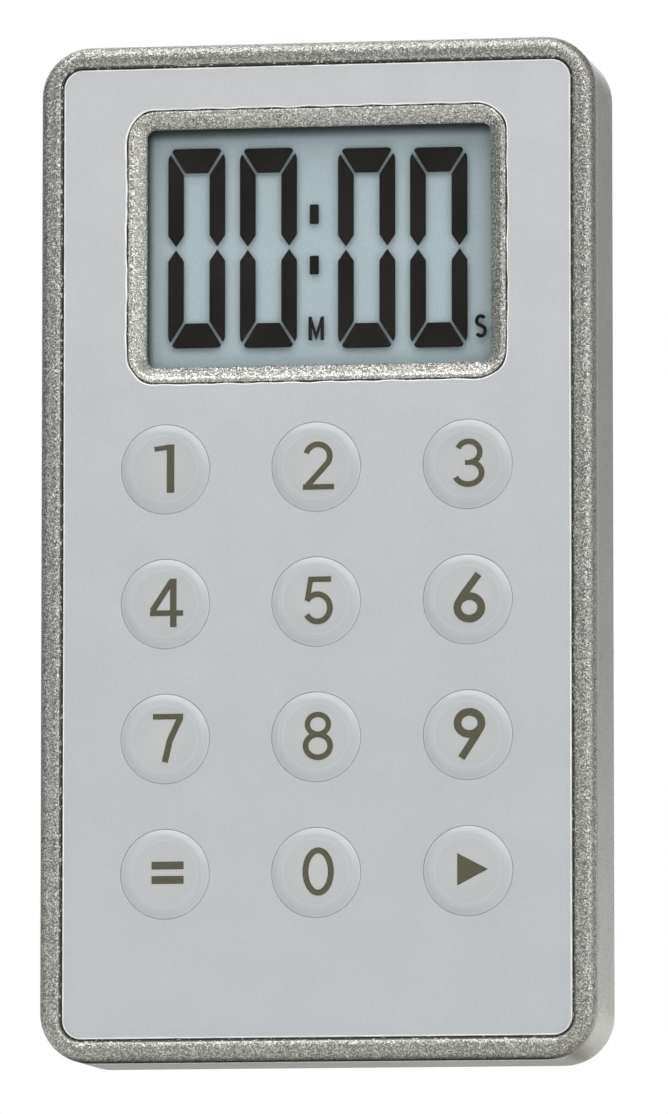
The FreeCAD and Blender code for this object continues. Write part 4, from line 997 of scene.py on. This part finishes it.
# ------------ inside
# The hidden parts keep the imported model's shapes: board, chip, crystal, cell, contacts, sounder,
# snap domes, connector strips and glue. Each gets the finish of what it is made of.
inside_finishes = (
    # Solder mask over woven glass: deep green with a faint mottle.
    (["circuit_board"], moulded(
        "green solder-masked laminate", "#1F4B33", "#2C6044", 0.6, 0.35, 0.02)),
    # Cured epoxy: near black, glossy and softly lumpy.
    (["timer_chip"], moulded("black epoxy drop", "#121212", "#202020", 1.2, 0.3, 0.05)),
    # Tin plate: bright grey with a soft crystal pattern.
    (["timing_crystal"], moulded(
        "tinned steel can", "#9FA2A4", "#BFC1C2", 0.4, 0.32, 0.01, 1.0, 0.15)),
    # Fired ceramic: dull tan-brown and fine-grained.
    (["chip_capacitors"], moulded(
        "fired brown ceramic", "#6E5642", "#84694F", 0.25, 0.5, 0.02)),
    # Lacquer over a ceramic chip: blue-black with a low sheen.
    (["chip_resistors"], moulded("lacquered resistor", "#17181B", "#26282B", 0.25, 0.4, 0.02)),
    # Drawn and nickel-plated steel: bright and slightly warm.
    (["button_cell"], moulded(
        "nickel-plated cell steel", "#A4A4A1", "#C4C4C0", 0.5, 0.28, 0.01, 1.0, 0.15)),
    # Moulded nylon: black and matt.
    (["battery_holder"], moulded("black nylon", "#161616", "#242424", 0.3, 0.55, 0.03)),
    # Tinned bronze strip: pale, warm and shiny.
    (["positive_contact", "negative_contact"], moulded(
        "tinned phosphor bronze", "#A59A86", "#BDB29D", 0.3, 0.3, 0.01, 1.0, 0.15)),
    # Pressed stainless strip: bright neutral grey.
    (["snap_dome_" + key for key in key_names], moulded(
        "stainless spring steel", "#A6A6A4", "#BEBEBC", 0.3, 0.28, 0.01, 1.0, 0.12)),
    # Polyester sheet, clear in truth but drawn as a pale solid grey.
    (["dome_sheet"], moulded("clear polyester sheet", "#B9BDBB", "#CBCFCD", 0.8, 0.35, 0.01)),
    # Rolled brass: yellow and bright.
    (["sounder_disc"], moulded(
        "rolled brass sheet", "#A98A4B", "#C2A361", 0.4, 0.3, 0.01, 1.0, 0.15)),
    # Silver paste fired on ceramic: a flat chalky white-grey.
    (["sounder_ceramic"], moulded(
        "silvered piezo ceramic", "#C9C9C4", "#DCDCD8", 0.2, 0.45, 0.01)),
    # Extruded PVC: plain red with a low sheen.
    (["sounder_wires"], moulded("red PVC wire jacket", "#8E1F1B", "#A52A24", 0.3, 0.45, 0.01)),
    # Carbon and plain silicone in thin layers: dark and pink, drawn as a mottle 0.5 mm coarse.
    (["zebra_strips"], moulded(
        "layered silicone rubber", "#262626", "#8A4A4A", 0.5, 0.6, 0.02)),
    # Moulded polystyrene: black and even.
    (["lcd_frame"], moulded("black polystyrene frame", "#141414", "#222222", 0.3, 0.5, 0.02)),
    # Acrylic glue, clear in truth but drawn as a pale solid cream.
    (["overlay_adhesive"], moulded(
        "clear acrylic adhesive", "#B8B6AC", "#CCCAC2", 0.6, 0.5, 0.02)),
    (["board_screws"], zinc_steel),
)
for node_names, finish in inside_finishes:
    for node_name in node_names:
        refinish(node_name, finish)

# ------------ table, light and camera
# A plain pale table with an opening where the timer's flat foot stands. Its underside lets light
# and sight through, because the timer is looked at from slightly below its bottom edge.
table = bmesh.new()
hole_w = case_half_w - 3.1
half_depth = abs(crest) / mm - 1.4
edge_points = []
for turn, (sx, sy) in enumerate(((1, 1), (-1, 1), (-1, -1), (1, -1))):
    for k in range(7):
        a = math.radians(90 * (turn + k / 6))
        x = sx * (hole_w - 1.5) + 1.5 * math.cos(a)
        y = sy * (half_depth - 0.2) + 0.2 * math.sin(a)
        edge_points.append(Vector((x * mm, y * mm, 0.0)))
inner = [table.verts.new(p) for p in edge_points]
outer_points = []
for p in edge_points:
    a = math.atan2(p.y * 3.5, p.x)
    outer_points.append(Vector((0.6 * math.cos(a), 0.6 * math.sin(a), 0.0)))
outer_verts = [table.verts.new(p) for p in outer_points]
n = len(inner)
for i in range(n):
    j = (i + 1) % n
    table.faces.new((inner[i], outer_verts[i], outer_verts[j], inner[j]))
bmesh.ops.recalc_face_normals(table, faces=table.faces)
if table.faces[0].normal.z < 0:
    bmesh.ops.reverse_faces(table, faces=table.faces)
table_mesh = bpy.data.meshes.new("table")
table.to_mesh(table_mesh)
table.free()
# Pale laminate: off-white and matt, with the faintest mottling. From 120 to 420 mm away it melts into
# the white room, so that no far edge of the table shows behind the timer.
pale_table, tree, place = blank_finish("pale table laminate")
mottle = add(tree, "ShaderNodeTexNoise", {
    "Vector": place, "Scale": 1 / (60 * mm), "Detail": 3.0})
tone = add(tree, "ShaderNodeValToRGB", {"Fac": mottle}, stops=(
    (0.0, "#EDEDEB"), (1.0, "#F4F4F2")))
top_side = add(tree, "ShaderNodeBsdfPrincipled", {
    "Base Color": tone, "Roughness": 0.7})
underside = add(tree, "ShaderNodeBsdfTransparent")
facing = add(tree, "ShaderNodeNewGeometry")
away = add(tree, "ShaderNodeVectorMath", {0: place}, operation="LENGTH")
melting = add(tree, "ShaderNodeMapRange", {
    "Value": away.outputs["Value"],
    "From Min": 0.12,
    "From Max": 0.42,
}, interpolation_type="SMOOTHSTEP")
gone = add(tree, "ShaderNodeMath", {
    0: facing.outputs["Backfacing"], 1: melting}, operation="MAXIMUM")
one_sided = add(tree, "ShaderNodeMixShader", {
    0: gone, 1: top_side, 2: underside})
add(tree, "ShaderNodeOutputMaterial", {"Surface": one_sided})
table_mesh.materials.append(pale_table)
table_top = bpy.data.objects.new("table_top", table_mesh)
scene.collection.objects.link(table_top)

# A white room: seen directly it is plain white, and it lights the timer softly from all round.
world = bpy.data.worlds.new("white room")
scene.world = world
world.use_nodes = True
tree = world.node_tree
tree.nodes.clear()
seen = add(tree, "ShaderNodeBackground", {"Color": linear("#FFFFFF"), "Strength": 1.0})
lit = add(tree, "ShaderNodeBackground", {"Color": linear("#FBFCFF"), "Strength": 0.3})
path = add(tree, "ShaderNodeLightPath")
choice = add(tree, "ShaderNodeMixShader", {
    0: path.outputs["Is Camera Ray"], 1: lit, 2: seen})
add(tree, "ShaderNodeOutputWorld", {"Surface": choice})

middle = Vector((0.0, 0.0, case_middle * mm))


def softbox(name, spot, size, power, colour):
    """A square studio lamp aimed at the middle of the timer."""
    lamp = bpy.data.lights.new(name, "AREA")
    lamp.shape = "SQUARE"
    lamp.size = size
    lamp.energy = power
    lamp.color = linear(colour)[:3]
    holder = bpy.data.objects.new(name, lamp)
    holder.location = middle + Vector(spot)
    holder.rotation_euler = (middle - holder.location).to_track_quat("-Z", "Y").to_euler()
    holder.visible_camera = False
    scene.collection.objects.link(holder)


softbox("main lamp", (0.75, -0.95, 0.95), 1.1, 10.5, "#FFFDF8")
softbox("fill lamp", (-0.7, -1.0, 0.3), 0.7, 1.9, "#F8FAFF")
softbox("side lamp", (1.0, -0.45, 0.0), 0.5, 3.2, "#FFFFFF")
softbox("top lamp", (-0.2, -0.38, 1.0), 0.9, 9.5, "#FFFFFF")
softbox("back lamp", (-0.35, 0.95, 0.75), 1.2, 7.0, "#FFFFFF")
softbox("under lamp", (0.0, -0.36, -0.62), 0.9, 12.5, "#FFFFFF")
softbox("low lamp", (0.24, 0.34, -0.1), 0.16, 0.35, "#FFFFFF")

scene.view_settings.view_transform = "Standard"
scene.view_settings.look = "None"

# The camera stands about a metre away, 9.5 degrees to the right and 6 degrees below level.
lens = bpy.data.cameras.new("long lens")
lens.sensor_width = 36.0
lens.sensor_fit = "AUTO"
lens.lens = 344.9
lens.clip_start = 0.05
lens.clip_end = 20.0
camera = bpy.data.objects.new("camera", lens)
camera.location = (0.1763, -1.0487, -0.0581)
aim = Vector((0.0018, -0.0071, 0.05013))
camera.rotation_euler = (aim - camera.location).to_track_quat("-Z", "Y").to_euler()
scene.collection.objects.link(camera)
scene.camera = camera
